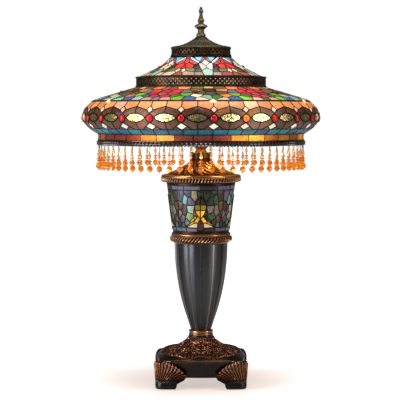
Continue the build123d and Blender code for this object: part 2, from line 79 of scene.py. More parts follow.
def smooth_line(points, count):
    """Catmull-Rom: a cubic between each two points, whose slope at a point is half the chord from
    the point before it to the point after it."""
    p = np.asarray(points, float)
    p = np.vstack((2 * p[0] - p[1], p, 2 * p[-1] - p[-2]))
    along = np.linspace(0, len(p) - 3, count)
    i = np.minimum(along.astype(int), len(p) - 4)
    f = (along - i)[:, None]
    a, b, c, d = p[i], p[i + 1], p[i + 2], p[i + 3]
    return b + 0.5 * f * (c - a + f * (2 * a - 5 * b + 4 * c - d + f * (3 * (b - c) + d - a)))


def even_line(points, count):
    """The same line, with its points spaced evenly along its length."""
    p = np.asarray(points, float)
    length = np.concatenate(([0], np.cumsum(np.linalg.norm(np.diff(p, axis=0), axis=1))))
    wanted = np.linspace(0, length[-1], count)
    return np.stack([np.interp(wanted, length, p[:, k]) for k in range(p.shape[1])], -1)


def ridge(phase, sharp=1.0):
    """A row of ridges, one for each whole turn of phase: (0.5 + 0.5 cos(2 pi phase)) ** sharp."""
    return (0.5 + 0.5 * np.cos(2 * np.pi * phase)) ** sharp


def step(value, start, end):
    """0 before start, 1 after end, and 3 t^2 - 2 t^3 between them."""
    t = np.clip((value - start) / (end - start), 0, 1)
    return t * t * (3 - 2 * t)


# %% [markdown]
# A turned surface is a profile carried round an axis. Angles start at the front of the lamp and
# grow towards its right. The radius may change with the angle, and that turns a plain lathe shape
# into flutes, rope or relief.

# %% Turned surfaces and copies
def revolve(radius, height, steps, loop=False):
    """Point (row, k) is (r sin a, -r cos a, z) with a = 2 pi k / steps. A profile that isn't a loop
    is closed with a flat face at each end."""
    angle = np.arange(steps) * 2 * np.pi / steps
    r = np.broadcast_to(np.asarray(radius, float).reshape(len(radius), -1), (len(radius), steps))
    z = np.broadcast_to(np.asarray(height, float).reshape(len(height), -1), r.shape)
    points = np.stack((r * np.sin(angle), -r * np.cos(angle), z), -1).reshape(-1, 3)
    blocks = [grid_faces(len(r), steps, close_rows=loop)]
    if not loop:
        ring = np.arange(steps)
        blocks.append(ring[::-1][None])
        blocks.append(((len(r) - 1) * steps + ring)[None])
    return outward((points, blocks))


def outward(shape):
    """Turns every face over if the shape's signed volume, the sum of a . (b x c) / 6, is negative."""
    points, blocks = shape
    volume = 0.0
    for block in blocks:
        first = points[block[:, 0]]
        for k in range(1, block.shape[1] - 1):
            volume += np.einsum("ij,ij->", first, np.cross(points[block[:, k]], points[block[:, k + 1]]))
    return (points, blocks) if volume >= 0 else (points, [block[:, ::-1] for block in blocks])


def join(shapes):
    """One shape out of many: each shape's face numbers go up by the points before it."""
    start = np.cumsum([0] + [len(points) for points, _ in shapes])
    blocks = [block + s for s, (_, own) in zip(start, shapes) for block in own]
    return np.vstack([points for points, _ in shapes]), blocks


def turning(degrees):
    """A 3x3 matrix for each angle, which turns a point about Z, front towards right."""
    a = np.radians(np.atleast_1d(degrees)).astype(float)
    zero, one = np.zeros_like(a), np.ones_like(a)
    rows = ((np.cos(a), -np.sin(a), zero), (np.sin(a), np.cos(a), zero), (zero, zero, one))
    return np.moveaxis(np.array(rows), -1, 0)


def repeat(shape, turns, moves=None):
    """The shape at many places at once: each point times each turning matrix, plus that move."""
    points, blocks = shape
    placed = np.einsum("kij,nj->kni", turns, points)
    if moves is not None:
        placed = placed + moves[:, None]
    shift = np.arange(len(turns))[:, None, None] * len(points)
    return placed.reshape(-1, 3), [(block[None] + shift).reshape(-1, block.shape[1]) for block in blocks]


print("a ring of 8 points by 2 rows has", len(grid_faces(2, 8)), "faces")


# %% [markdown]
# Every piece goes through one function. It writes the mesh, keeps an edge sharp where two faces
# meet at a steep angle, stores values that change over the surface as attributes, tells the frame
# which body the piece moves with, and hides the CAD nodes it stands for.

# %% Adding a piece
made = {}


def add_piece(name, shape, body, material, replaces=(), sharp=35.0, values=None):
    """Points in millimetres become a mesh in metres. values maps an attribute's name to an array."""
    points, blocks = shape
    mesh = bpy.data.meshes.new(name)
    faces = [face for block in blocks for face in block.tolist()]
    mesh.from_pydata((points * MM).tolist(), [], faces)
    mesh.materials.append(material)
    kinds = {1: ("FLOAT", "value"), 3: ("FLOAT_VECTOR", "vector"), 4: ("FLOAT_COLOR", "color")}
    for key, array in (values or {}).items():
        array = np.asarray(array, np.float32).reshape(len(points), -1)
        kind, field = kinds[array.shape[1]]
        mesh.attributes.new(key, kind, "POINT").data.foreach_set(field, array.ravel())
    mesh.shade_smooth()
    mesh.set_sharp_from_angle(angle=math.radians(sharp))
    piece = bpy.data.objects.new(name, mesh)
    bpy.context.scene.collection.objects.link(piece)
    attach(piece, body)
    if replaces:
        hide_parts(*replaces)
    made[name] = sum(len(face) - 2 for face in faces)
    print(name, made[name], "triangles")
    return piece


# %% [markdown]
# Shader groups hold an effect that several materials share. The first is a patina: real art metal
# is cast in zinc, plated with copper, dipped dark, and rubbed until the high places shine. So
# colour and shine both follow a wear value, which the mesh carries, broken up by a fine noise.

# %% The patina group
def new_group(name, inputs, outputs):
    """An empty node group with named sockets. Returns the group, its input node and output node."""
    group = bpy.data.node_groups.new(name, "ShaderNodeTree")
    for label, kind, value in inputs:
        socket = group.interface.new_socket(label, in_out="INPUT", socket_type=kind)
        if value is not None:
            socket.default_value = value
    for label, kind in outputs:
        group.interface.new_socket(label, in_out="OUTPUT", socket_type=kind)
    return group, group.nodes.new("NodeGroupInput"), group.nodes.new("NodeGroupOutput")


def node(tree, kind, links=(), **settings):
    """One shader node. settings are its properties, and links fill its inputs: each input's name or
    number comes with a socket to link or a value to set."""
    made_node = tree.nodes.new(kind)
    for key, value in settings.items():
        setattr(made_node, key, value)
    for key, source in dict(links).items():
        if isinstance(source, bpy.types.NodeSocket):
            tree.links.new(source, made_node.inputs[key])
        else:
            made_node.inputs[key].default_value = source
    return made_node


def math_node(tree, operation, first, second=0.0, clamp=False):
    """first (operation) second, as one output socket."""
    made_node = node(tree, "ShaderNodeMath", {0: first, 1: second}, operation=operation, use_clamp=clamp)
    return made_node.outputs[0]


def mix_colour(tree, share, first, second, blend="MIX"):
    """A colour between first and second, or their product, by share."""
    mixer = node(tree, "ShaderNodeMix", {0: share, 6: first, 7: second}, data_type="RGBA", blend_type=blend)
    return mixer.outputs[2]


COLOUR, VALUE, VECTOR = "NodeSocketColor", "NodeSocketFloat", "NodeSocketVector"

patina_group, patina_in, patina_out = new_group(
    "patina",
    [
        ("Place", VECTOR, None),
        ("Dark", COLOUR, (0.01, 0.01, 0.01, 1)),
        ("Bright", COLOUR, (0.4, 0.2, 0.1, 1)),
        ("Wear", VALUE, 0.0),
        ("Spread", VALUE, 0.35),
        ("Scale", VALUE, 60.0),
    ],
    [("Color", COLOUR), ("Roughness", VALUE), ("Height", VALUE)],
)
tree = patina_group
given = patina_in.outputs
cloud = node(tree, "ShaderNodeTexNoise", {"Vector": given["Place"], "Scale": given["Scale"], "Detail": 5.0})
fine_scale = math_node(tree, "MULTIPLY", given["Scale"], 9.0)
grain = node(tree, "ShaderNodeTexNoise", {"Vector": given["Place"], "Scale": fine_scale, "Detail": 2.0})
uneven = math_node(tree, "MULTIPLY", math_node(tree, "SUBTRACT", cloud.outputs[0], 0.5), given["Spread"])
worn = math_node(tree, "ADD", patina_in.outputs["Wear"], math_node(tree, "MULTIPLY", uneven, 2.0), clamp=True)
tint = mix_colour(tree, worn, patina_in.outputs["Dark"], patina_in.outputs["Bright"])
tree.links.new(tint, patina_out.inputs["Color"])
rough = math_node(tree, "SUBTRACT", 0.5, math_node(tree, "MULTIPLY", worn, 0.18))
grainy = math_node(tree, "MULTIPLY", math_node(tree, "SUBTRACT", grain.outputs[0], 0.5), 0.2)
rough = math_node(tree, "ADD", rough, grainy)
tree.links.new(rough, patina_out.inputs["Roughness"])
tree.links.new(math_node(tree, "ADD", cloud.outputs[0], grain.outputs[0]), patina_out.inputs["Height"])
print("patina group:", len(tree.nodes), "nodes")


# %% [markdown]
# A metal is one short function: a place, a wear value from the mesh, the patina group, and the
# shader. A mesh without a wear value reads as zero, so plain turned parts stay dark and only the
# noise shows on them.

# %% Metals
def new_material(name):
    """A material with its tree emptied but for a Principled shader. Returns both and the tree."""
    material = bpy.data.materials.new(name)
    material.use_nodes = True
    own = material.node_tree
    own.nodes.clear()
    shader = own.nodes.new("ShaderNodeBsdfPrincipled")
    own.links.new(shader.outputs[0], own.nodes.new("ShaderNodeOutputMaterial").inputs[0])
    return material, own, shader


def bump(own, shader, height, strength, distance):
    """Feeds a height into the shader's normal."""
    relief = node(own, "ShaderNodeBump", {"Height": height, "Strength": strength, "Distance": distance})
    own.links.new(relief.outputs[0], shader.inputs["Normal"])


def metal(name, dark, bright, metallic=0.9, spread=0.3, scale=60.0, strength=0.25, specular=0.5, polish=0.0):
    """Patinated metal between a dark and a bright colour. polish takes a share off the roughness."""
    material, own, shader = new_material(name)
    place = node(own, "ShaderNodeTexCoord").outputs["Object"]
    wear = node(own, "ShaderNodeAttribute", attribute_name="wear").outputs["Fac"]
    finish = node(own, "ShaderNodeGroup", node_tree=patina_group)
    settings = {"Dark": linear(*dark), "Bright": linear(*bright), "Spread": spread, "Scale": scale}
    for key, value in settings.items():
        finish.inputs[key].default_value = value
    own.links.new(place, finish.inputs["Place"])
    own.links.new(wear, finish.inputs["Wear"])
    own.links.new(finish.outputs["Color"], shader.inputs["Base Color"])
    smoother = math_node(own, "MULTIPLY", finish.outputs["Roughness"], 1.0 - polish)
    own.links.new(smoother, shader.inputs["Roughness"])
    shader.inputs["Metallic"].default_value = metallic
    shader.inputs["Specular IOR Level"].default_value = specular
    bump(own, shader, finish.outputs["Height"], strength, 0.0004)
    return material


bronze = metal("bronze_patina", (40, 38, 37), (170, 106, 68), spread=0.08, polish=0.5)
olive_bronze = metal("olive_bronze", (48, 43, 31), (122, 112, 86), spread=0.5, scale=90.0)
satin_bronze = metal(
    "satin_bronze", (60, 61, 64), (150, 126, 104), metallic=0.95, spread=0.06, scale=24.0, polish=0.5
)
copper = metal("rubbed_copper", (42, 25, 16), (190, 142, 104), spread=0.2, polish=0.3)
solder = metal("solder_line", (16, 12, 9), (56, 40, 28), metallic=0.5, spread=0.4, scale=120.0, specular=0.2)
gilt = metal("gilt_bronze", (38, 22, 10), (208, 144, 68), spread=0.3, polish=0.3)
pierced_bronze = metal("pierced_bronze", (30, 22, 15), (98, 70, 46), spread=0.5, scale=140.0)
steel = metal("zinc_steel", (120, 122, 124), (176, 178, 180), metallic=1.0, spread=0.6, scale=80.0)
iron = metal("cast_iron", (38, 38, 40), (70, 70, 72), metallic=0.5, spread=0.8, scale=110.0, strength=0.6)
brass = metal("spun_brass", (150, 104, 44), (226, 178, 96), metallic=1.0, spread=0.5, scale=50.0)
print("metals:", [m.name for m in bpy.data.materials])


# %% [markdown]
# Opalescent glass is milky, streaked and slightly uneven. Its glow is painted light, as of bulbs
# shining through, strongest at fixed bearings round the shade. Each tile is a closed slab of its
# own. It carries its colour, how strongly it glows, and its own place for the streaks, so that no
# two neighbouring tiles are cut from the same bit of sheet.

# %% The streak group
streak_group, streak_in, streak_out = new_group(
    "glass_streaks",
    [("Place", VECTOR, None), ("Tint", COLOUR, (1, 1, 1, 1)), ("Depth", VALUE, 0.5), ("Milk", VALUE, 0.05)],
    [("Color", COLOUR), ("Height", VALUE)],
)
tree = streak_group
given = streak_in.outputs
drawn = node(tree, "ShaderNodeVectorMath", {0: given["Place"], 1: (1.0, 0.28, 1.0)}, operation="MULTIPLY")
flow_values = {"Vector": drawn.outputs[0], "Scale": 0.42, "Detail": 4.0, "Distortion": 1.2}
flow = node(tree, "ShaderNodeTexNoise", flow_values)
ripple = node(tree, "ShaderNodeTexNoise", {"Vector": streak_in.outputs["Place"], "Scale": 0.9, "Detail": 2.0})
milk = node(tree, "ShaderNodeMapRange", {"Value": flow.outputs[0], 1: 0.38, 2: 0.66, 3: 0.0, 4: 1.0})
milk = milk.outputs[0]
deep = mix_colour(tree, given["Depth"], given["Tint"], given["Tint"], "MULTIPLY")
pale = mix_colour(tree, streak_in.outputs["Milk"], streak_in.outputs["Tint"], (1.0, 0.95, 0.86, 1))
tree.links.new(mix_colour(tree, milk, deep, pale), streak_out.inputs["Color"])
tree.links.new(math_node(tree, "ADD", flow.outputs[0], ripple.outputs[0]), streak_out.inputs["Height"])
print("streak group:", len(tree.nodes), "nodes")


# %% Glass materials
def opal_glass(name, depth=0.5, roughness=0.3, strength=0.5, body_tone=0.62, milk=0.03, grains=0.0):
    """Streaked glass whose colour, glow and streak place come from the mesh. Strong light through
    it shifts the colour towards its square root, as thin amber turns yellow. grains breaks the
    glow into bright specks."""
    material, own, shader = new_material(name)
    tint = node(own, "ShaderNodeAttribute", attribute_name="tint").outputs["Color"]
    glow = node(own, "ShaderNodeAttribute", attribute_name="glow").outputs["Fac"]
    place = node(own, "ShaderNodeAttribute", attribute_name="place").outputs["Vector"]
    streaks = node(own, "ShaderNodeGroup", {"Place": place, "Tint": tint}, node_tree=streak_group)
    streaks.inputs["Depth"].default_value = depth
    streaks.inputs["Milk"].default_value = milk
    dimmed = mix_colour(own, 1.0, streaks.outputs["Color"], (body_tone, body_tone, body_tone, 1), "MULTIPLY")
    own.links.new(dimmed, shader.inputs["Base Color"])
    thin = node(own, "ShaderNodeGamma", {"Color": streaks.outputs["Color"], "Gamma": 0.5}).outputs[0]
    through = math_node(own, "MULTIPLY", glow, 0.6, clamp=True)
    lit = mix_colour(own, 1.0, mix_colour(own, through, streaks.outputs["Color"], thin), glow, "MULTIPLY")
    height = streaks.outputs["Height"]
    if grains:
        specks = node(own, "ShaderNodeTexVoronoi", {"Vector": place, "Scale": 1.0})
        steps = {"Value": specks.outputs[0], 1: 0.15, 2: 0.6, 3: 1.5, 4: 1.5 - grains}
        speck = node(own, "ShaderNodeMapRange", steps).outputs[0]
        lit = mix_colour(own, 1.0, lit, speck, "MULTIPLY")
        height = math_node(own, "SUBTRACT", height, math_node(own, "MULTIPLY", specks.outputs[0], 3.0))
    own.links.new(lit, shader.inputs["Emission Color"])
    shader.inputs["Emission Strength"].default_value = 1.0
    shader.inputs["Roughness"].default_value = roughness
    shader.inputs["Specular IOR Level"].default_value = 0.25
    bump(own, shader, height, strength, 0.0006)
    return material


shade_glass = opal_glass("opalescent_glass")
urn_glass = opal_glass("urn_glass", depth=0.6, roughness=0.18)
jewel_glass = opal_glass(
    "pressed_jewel_glass", depth=0.7, roughness=0.1, strength=0.2, body_tone=0.9, milk=0.0
)
amber_glass = opal_glass("hammered_amber_glass", 0.7, 0.3, 0.6, 0.4, 0.0, grains=1.1)
granular_glass = opal_glass("granular_glass", 0.8, 0.2, 0.9, 0.35, 0.0, grains=1.45)
print("glass materials made")


def glow_at(theta):
    """Painted glow, as of bulbs shining through the glass: bumps exp(-(d / 13)^2) about six fixed bearings
    round the shade.
    """
    total = np.zeros_like(theta, dtype=float)
    for bearing in (-25, 25, 90, 155, 205, 270):
        away = (theta - bearing + 180) % 360 - 180
        total += np.exp(-((away / 13) ** 2))
    return total


# %% [markdown]
# A leaded pattern is drawn flat, as a list of convex outlines, and then laid on a turned surface.
# The flat drawing uses an angle and a distance down the profile. This function returns the map from
# the drawing to the surface: it looks the radius and height up along the profile and moves out
# along the profile's normal.

# %% Laying a drawing on a turned surface
def skin(profile):
    """profile rows are (radius, height), top first. Returns place(theta, s, lift) and the profile's
    marks: s is length along it, and the normal is the profile's direction turned a quarter."""
    line = even_line(smooth_line(profile, 240), 160)
    s = np.concatenate(([0], np.cumsum(np.linalg.norm(np.diff(line, axis=0), axis=1))))
    slope = np.gradient(line, s, axis=0)
    normal = np.stack((-slope[:, 1], slope[:, 0]), -1)

    def place(theta, down, lift):
        r = np.interp(down, s, line[:, 0]) + lift * np.interp(down, s, normal[:, 0])
        z = np.interp(down, s, line[:, 1]) + lift * np.interp(down, s, normal[:, 1])
        a = np.radians(theta)
        return np.stack((r * np.sin(a), -r * np.cos(a), z), -1)

    return place, s, line


def clip(outline, point, normal):
    """The part of a convex outline behind a line: corners with (p - point) . normal <= 0 stay, and
    a new corner is put where an edge crosses the line."""
    side = (outline - point) @ normal
    if (side <= 1e-9).all():
        return outline
    kept = []
    for k, (here, value) in enumerate(zip(outline, side)):
        after, next_value = outline[(k + 1) % len(outline)], side[(k + 1) % len(outline)]
        if value <= 0:
            kept.append(here)
        if value * next_value < 0:
            kept.append(here + (after - here) * value / (value - next_value))
    return np.array(kept) if len(kept) > 2 else np.zeros((0, 2))


def inset(outline, amount):
    """Every edge of a convex outline, which runs clockwise, moves inwards by amount."""
    centre = outline.mean(0)
    result = outline
    for k in range(len(outline)):
        edge = outline[(k + 1) % len(outline)] - outline[k]
        if np.linalg.norm(edge) < 1e-6 or len(result) < 3:
            continue
        normal = np.array((edge[1], -edge[0])) / np.linalg.norm(edge)
        if (centre - outline[k]) @ normal > 0:
            normal = -normal
        result = clip(result, outline[k] - normal * amount, normal)
    return result


def divide(outline, longest):
    """Straight edges cut into parts no longer than longest, so that they can follow a curve."""
    parts = []
    for k, here in enumerate(outline):
        after = outline[(k + 1) % len(outline)]
        count = max(1, math.ceil(np.linalg.norm(after - here) / longest))
        parts.append(here + (after - here) * np.linspace(0, 1, count, endpoint=False)[:, None])
    return np.vstack(parts)


# %% [markdown]
# Now the leaded panel itself. Each outline becomes a slab of glass with a slightly pillowed face,
# and each edge becomes a came: the bead of dark solder over copper foil that holds the glass. An
# edge that two outlines share is made once. The same beads show on the inside of the shade, as they
# do on a real one, because each runs right through the joint.

# %% Slabs and cames
GLASS_THICKNESS = 3.0
PILLOW = 0.4
chance = np.random.default_rng(7)


def slab(outline, radius, place, gap, longest=7.0):
    """Rings of points: the outline under the glass, the outline on top, and a smaller ring lifted
    by the pillow. Flat faces close it above and below."""
    flat = outline * (math.radians(1) * radius, 1)
    flat = inset(flat, gap)
    if len(flat) < 3:
        return None
    flat = divide(flat, longest)
    x, y = flat[:, 0], flat[:, 1]
    area = np.sum(x * np.roll(y, -1) - np.roll(x, -1) * y)
    flat = flat if area < 0 else flat[::-1]
    inner = flat.mean(0) + (flat - flat.mean(0)) * 0.78
    rings = ((flat, -GLASS_THICKNESS), (flat, -0.25), (inner, PILLOW))
    points = np.vstack([
        place(ring[:, 0] / radius / math.radians(1), ring[:, 1], lift) for ring, lift in rings
    ])
    count = len(flat)
    ring = np.arange(count)
    blocks = [grid_faces(3, count), ring[::-1][None], (2 * count + ring)[None]]
    flat_place = np.vstack([ring_points for ring_points, _ in rings])
    return points, blocks, flat_place - flat.mean(0)


def came_bars(edges, place, width=2.4, stand=0.8, across=8, along=4):
    """Each edge is sampled at a few places, and an oval of points is set round each: half width
    across the edge, and half the glass plus stand along the surface's normal."""
    share = np.linspace(0, 1, along)[None, :, None]
    flat = edges[:, :1] * (1 - share) + edges[:, 1:] * share
    middle = place(flat[..., 0], flat[..., 1], -GLASS_THICKNESS / 2)
    normal = place(flat[..., 0], flat[..., 1], 1 - GLASS_THICKNESS / 2) - middle
    run = middle[:, -1:] - middle[:, :1]
    run = np.broadcast_to(run / np.linalg.norm(run, axis=-1, keepdims=True), middle.shape)
    side = np.cross(run, normal)
    side /= np.linalg.norm(side, axis=-1, keepdims=True)
    turn = (np.arange(across) + 0.5) * 2 * np.pi / across
    wide = np.cos(turn)[:, None] * width / 2
    tall = np.sin(turn)[:, None] * (GLASS_THICKNESS / 2 + stand)
    points = middle[:, :, None] + side[:, :, None] * wide + normal[:, :, None] * tall
    ring = np.arange(across)
    one = [grid_faces(along, across), ring[::-1][None], ((along - 1) * across + ring)[None]]
    shift = np.arange(len(edges))[:, None, None] * along * across
    blocks = [(block[None] + shift).reshape(-1, block.shape[1]) for block in one]
    return outward((points.reshape(-1, 3), blocks))


def leaded(name, tiles, surface, body, replaces, glass, came_width=2.4, gap=0.5):
    """tiles are (outline in degrees and s, colour 0-255, glow). Makes one glass piece and one came
    piece, and drops an edge that is there already."""
    place, s, line = surface
    shapes, tints, glows, places, edges = [], [], [], [], []
    for outline, colour, glow in tiles:
        radius = float(np.interp(outline[:, 1].mean(), s, line[:, 0]))
        made_slab = slab(outline, radius, place, gap)
        if made_slab is None:
            continue
        points, blocks, flat_place = made_slab
        count = len(points)
        turn = chance.uniform(0, 2 * np.pi)
        own = flat_place @ np.array(((np.cos(turn), -np.sin(turn)), (np.sin(turn), np.cos(turn))))
        own = np.column_stack((own, np.zeros(count))) + chance.uniform(0, 900, 3)
        shade = np.clip(np.array(colour) * chance.uniform(0.88, 1.1) + chance.uniform(-7, 7, 3), 3, 255)
        theta = np.degrees(np.arctan2(points[:, 0], -points[:, 1]))
        shapes.append((points, blocks))
        tints.append(np.tile(linear(*shade), (count, 1)))
        glows.append(glow[0] + glow[1] * glow_at(theta))
        places.append(own)
        edges.append(np.stack((outline, np.roll(outline, -1, axis=0)), 1))
    values = {"tint": np.vstack(tints), "glow": np.concatenate(glows), "place": np.vstack(places)}
    add_piece(name + "_glass", join(shapes), body, glass, replaces, values=values)
    edges = np.vstack(edges)
    ends = np.round(place(edges[..., 0], edges[..., 1], 0.0) * 5).astype(int)
    first_is_low = (ends[:, 0] * (1, 3001, 9000007)).sum(1) < (ends[:, 1] * (1, 3001, 9000007)).sum(1)
    key = np.where(first_is_low[:, None, None], ends, ends[:, ::-1]).reshape(len(ends), -1)
    edges = edges[np.unique(key, axis=0, return_index=True)[1]]
    spots = place(edges[..., 0], edges[..., 1], 0.0)
    edges = edges[np.linalg.norm(spots[:, 0] - spots[:, 1], axis=-1) > 0.8]
    bars = came_bars(edges, place, came_width)
    wear = np.clip(chance.normal(0.35, 0.25, len(edges)), 0, 1).repeat(len(bars[0]) // len(edges))
    add_piece(name + "_cames", bars, body, solder, (), values={"wear": wear})


print("leaded panels are ready to be cut")


# %% [markdown]
# The glass is bought in sheets, and a workshop knows each by its colour. The second part of each
# entry is its painted glow: a little everywhere, and more, scaled by glow_at(), at six fixed bearings.

# %% The glass rack
rack = {
    "peach": ((232, 152, 84), (0.3, 0.35)),
    "orange": ((234, 134, 58), (0.3, 0.35)),
    "salmon": ((244, 178, 140), (0.3, 0.35)),
    "blush": ((226, 186, 170), (0.12, 0.2)),
    "cream": ((246, 226, 186), (0.25, 0.25)),
    "white": ((250, 244, 228), (0.3, 0.2)),
    "lemon": ((232, 214, 110), (0.2, 0.2)),
    "ochre": ((176, 112, 48), (0.12, 0.25)),
    "scarlet": ((222, 26, 18), (0.4, 0.3)),
    "crimson": ((190, 18, 30), (0.3, 0.3)),
    "maroon": ((98, 26, 34), (0.12, 0.2)),
    "rose": ((186, 82, 84), (0.15, 0.2)),
    "lime": ((132, 184, 40), (0.25, 0.3)),
    "leaf": ((70, 128, 58), (0.15, 0.3)),
    "mint": ((178, 216, 190), (0.2, 0.2)),
    "sky": ((124, 196, 214), (0.25, 0.2)),
    "steel_blue": ((70, 116, 180), (0.15, 0.2)),
    "row_blue": ((30, 110, 150), (0.16, 0.2)),
    "row_teal": ((24, 138, 158), (0.16, 0.2)),
    "lilac": ((142, 132, 156), (0.06, 0.15)),
    "olive": ((112, 112, 84), (0.05, 0.15)),
    "moss": ((132, 136, 72), (0.08, 0.2)),
    "umber": ((96, 50, 20), (0.04, 0.9)),
    "mauve": ((108, 70, 48), (0.04, 0.7)),
    "amber": ((150, 62, 2), (0.6, 2.6)),
    "honey": ((184, 104, 12), (0.7, 2.4)),
    "dark_amber": ((140, 32, 4), (0.3, 2.2)),
    "petal": ((252, 208, 178), (0.3, 0.3)),
    "pearl": ((254, 236, 222), (0.35, 0.3)),
    "night": ((34, 36, 36), (0.0, 0.1)),
    "granular": ((190, 180, 112), (0.05, 2.6)),
}


def tile(outline, glass):
    """A tile for leaded(): its outline with a colour and a glow from the rack. Where several names
    are given, one is drawn by lot."""
    names = glass.split("|")
    colour, glow = rack[names[int(chance.integers(len(names)))]]
    return np.asarray(outline, float), colour, glow


print(len(rack), "kinds of glass")


# %% [markdown]
# The slope and the crown are free drawing: a lotus and a bud on one axis, a red flower on the next,
# leaves and ground between. I give each piece of glass a seed, and its outline is everything nearer
# to that seed than to any other (a Voronoi cell). The drawing is made with the logarithm of the
# radius, because a cone unrolled that way keeps its angles, so the cells come out evenly shaped
# from the narrow end to the wide end. Half a sector is drawn, and mirrored.

# %% Cells from seeds
def cells(seeds, half, low, high):
    """seeds are (glass, x, y) with x from 0 to half. Each cell starts as a wide box and is cut back
    to the middle line towards every other seed and every mirrored seed."""
    spots = np.array([(x, y) for _, x, y in seeds], float)
    crowd = np.vstack((spots, spots * (-1, 1), (2 * half, 0) + spots * (-1, 1)))
    found = []
    for glass, x, y in seeds:
        here = np.array((x, y))
        outline = np.array(((-half, low), (2 * half, low), (2 * half, high), (-half, high)), float)
        away = np.linalg.norm(crowd - here, axis=1)
        for k in np.argsort(away):
            if away[k] > 1e-6 and len(outline) > 2:
                outline = clip(outline, (here + crowd[k]) / 2, crowd[k] - here)
        if len(outline) > 2:
            found.append((glass, outline, x < 1e-6 or x > half - 1e-6))
    return found


def sectors(found, count, yaw, to_drawing):
    """Every cell in each sector, and its mirror image unless it lies across an axis. A glass name
    such as a/b is a on the left of the axis and b on the right."""
    tiles = []
    for k in range(count):
        axis = yaw + k * 360 / count
        for glass, outline, across_axis in found:
            left, _, right = glass.partition("/")
            flat = to_drawing(outline)
            tiles.append(tile(flat + (axis, 0), right or left))
            if not across_axis:
                tiles.append(tile(flat[::-1] * (-1, 1) + (axis, 0), left))
    return tiles


SHADE_YAW = 5.9
SHADE_SECTORS = 6
crown_line = [(56, 593), (72.5, 578.5), (111, 559.2)]
shade_line = [
    (119.6, 539.4), (156.0, 528.4), (193, 516.9), (200.5, 511.6), (206.8, 506), (211, 500.5), (213.4, 494.5),
    (213.9, 486), (213.2, 479.5), (210.8, 475.2), (206.6, 470.3), (201.6, 465.8), (196.4, 461.8),
    (191.2, 458.6), (187.6, 456.4), (186.4, 454.5), (186.4, 444.9),
]
crown_skin = skin(crown_line)
shade_skin = skin(shade_line)


def from_log(surface):
    """Changes drawing points (radians, log radius) to (degrees, distance down the profile)."""
    _, s, line = surface
    widest = int(np.argmax(line[:, 0])) + 1

    def change(outline):
        down = np.interp(np.exp(outline[:, 1]), line[:widest, 0], s[:widest])
        return np.column_stack((np.degrees(outline[:, 0]), down))

    return change


def polar_seeds(listed):
    """(glass, degrees, radius) rows as (glass, radians, log radius)."""
    return [(glass, math.radians(degrees), math.log(radius)) for glass, degrees, radius in listed]


print("profiles:", round(crown_skin[1][-1], 1), "and", round(shade_skin[1][-1], 1), "mm long")


# %% [markdown]
# The crown's lotus is drawn as listed outlines: they are convex, and neighbours share their corners.
# Half a sector is drawn from the lotus axis at 0 degrees to the red flower's axis at
# 30, each corner as (degrees, height). A piece that lies across an axis is drawn whole.

# %% The crown
crown_half = [
    ("rose", [(0, 593), (3, 593), (9, 583.5), (6.3, 582.6), (0, 588.5)]),
    ("cream|white", [(6.3, 582.6), (10.6, 581.2), (6, 568), (0, 573), (0, 577)]),
    ("sky", [(3, 593), (24, 593), (11.3, 585.5), (9, 583.5)]),
    ("white", [(24, 593), (27.5, 591.5), (10.6, 581.2), (9, 583.5), (11.3, 585.5)]),
    ("crimson|rose", [(27.5, 591.5), (26, 583), (17, 579), (10.6, 581.2)]),
    ("scarlet", [(26, 583), (30, 580), (26, 572.5), (17, 573), (17, 579)]),
    ("maroon", [(10.6, 581.2), (17, 579), (17, 573), (13, 571), (8, 573.6)]),
    ("cream", [(26, 572.5), (30, 570), (27, 564.4), (23.5, 567.5)]),
    ("olive", [(8, 573.6), (13, 571), (14, 565.5), (5.6, 565.5), (6, 568)]),
    ("olive|moss", [(13, 571), (17, 573), (26, 572.5), (23.5, 567.5), (14, 565.5)]),
    ("blush", [(4, 559.2), (5.6, 565.5), (14, 565.5), (13, 559.2)]),
    ("blush|rose", [(13, 559.2), (14, 565.5), (23.5, 567.5), (27, 564.4), (24, 559.2)]),
]
crown_across = [
    ("white", [(0, 588.5), (6.3, 582.6), (0, 577), (-6.3, 582.6)]),
    ("mint", [(0, 573), (6, 568), (5.6, 565.5), (4, 559.2), (-4, 559.2), (-5.6, 565.5), (-6, 568)]),
    ("sky", [(24, 593), (36, 593), (32.5, 591.5), (27.5, 591.5)]),
    ("scarlet", [(27.5, 591.5), (32.5, 591.5), (34, 583), (30, 580), (26, 583)]),
    ("crimson", [(30, 580), (34, 572.5), (30, 570), (26, 572.5)]),
    ("ochre", [(24, 559.2), (36, 559.2), (30, 570)]),
]


def drawn_cells(halves, across_axis, surface):
    """Listed (degrees, height) outlines as cells for sectors()."""
    _, s, line = surface
    listed = []
    for rows, crossing in ((halves, False), (across_axis, True)):
        for glass, corners in rows:
            flat = np.array(corners, float)
            down = np.interp(-flat[:, 1], -line[:, 1], s)
            listed.append((glass, np.column_stack((flat[:, 0], down)), crossing))
    return listed


found = drawn_cells(crown_half, crown_across, crown_skin)
crown_tiles = sectors(found, SHADE_SECTORS, SHADE_YAW + 1.0, np.copy)
leaded("crown", crown_tiles, crown_skin, "shade", ("crown_glass",), shade_glass, 2.0)

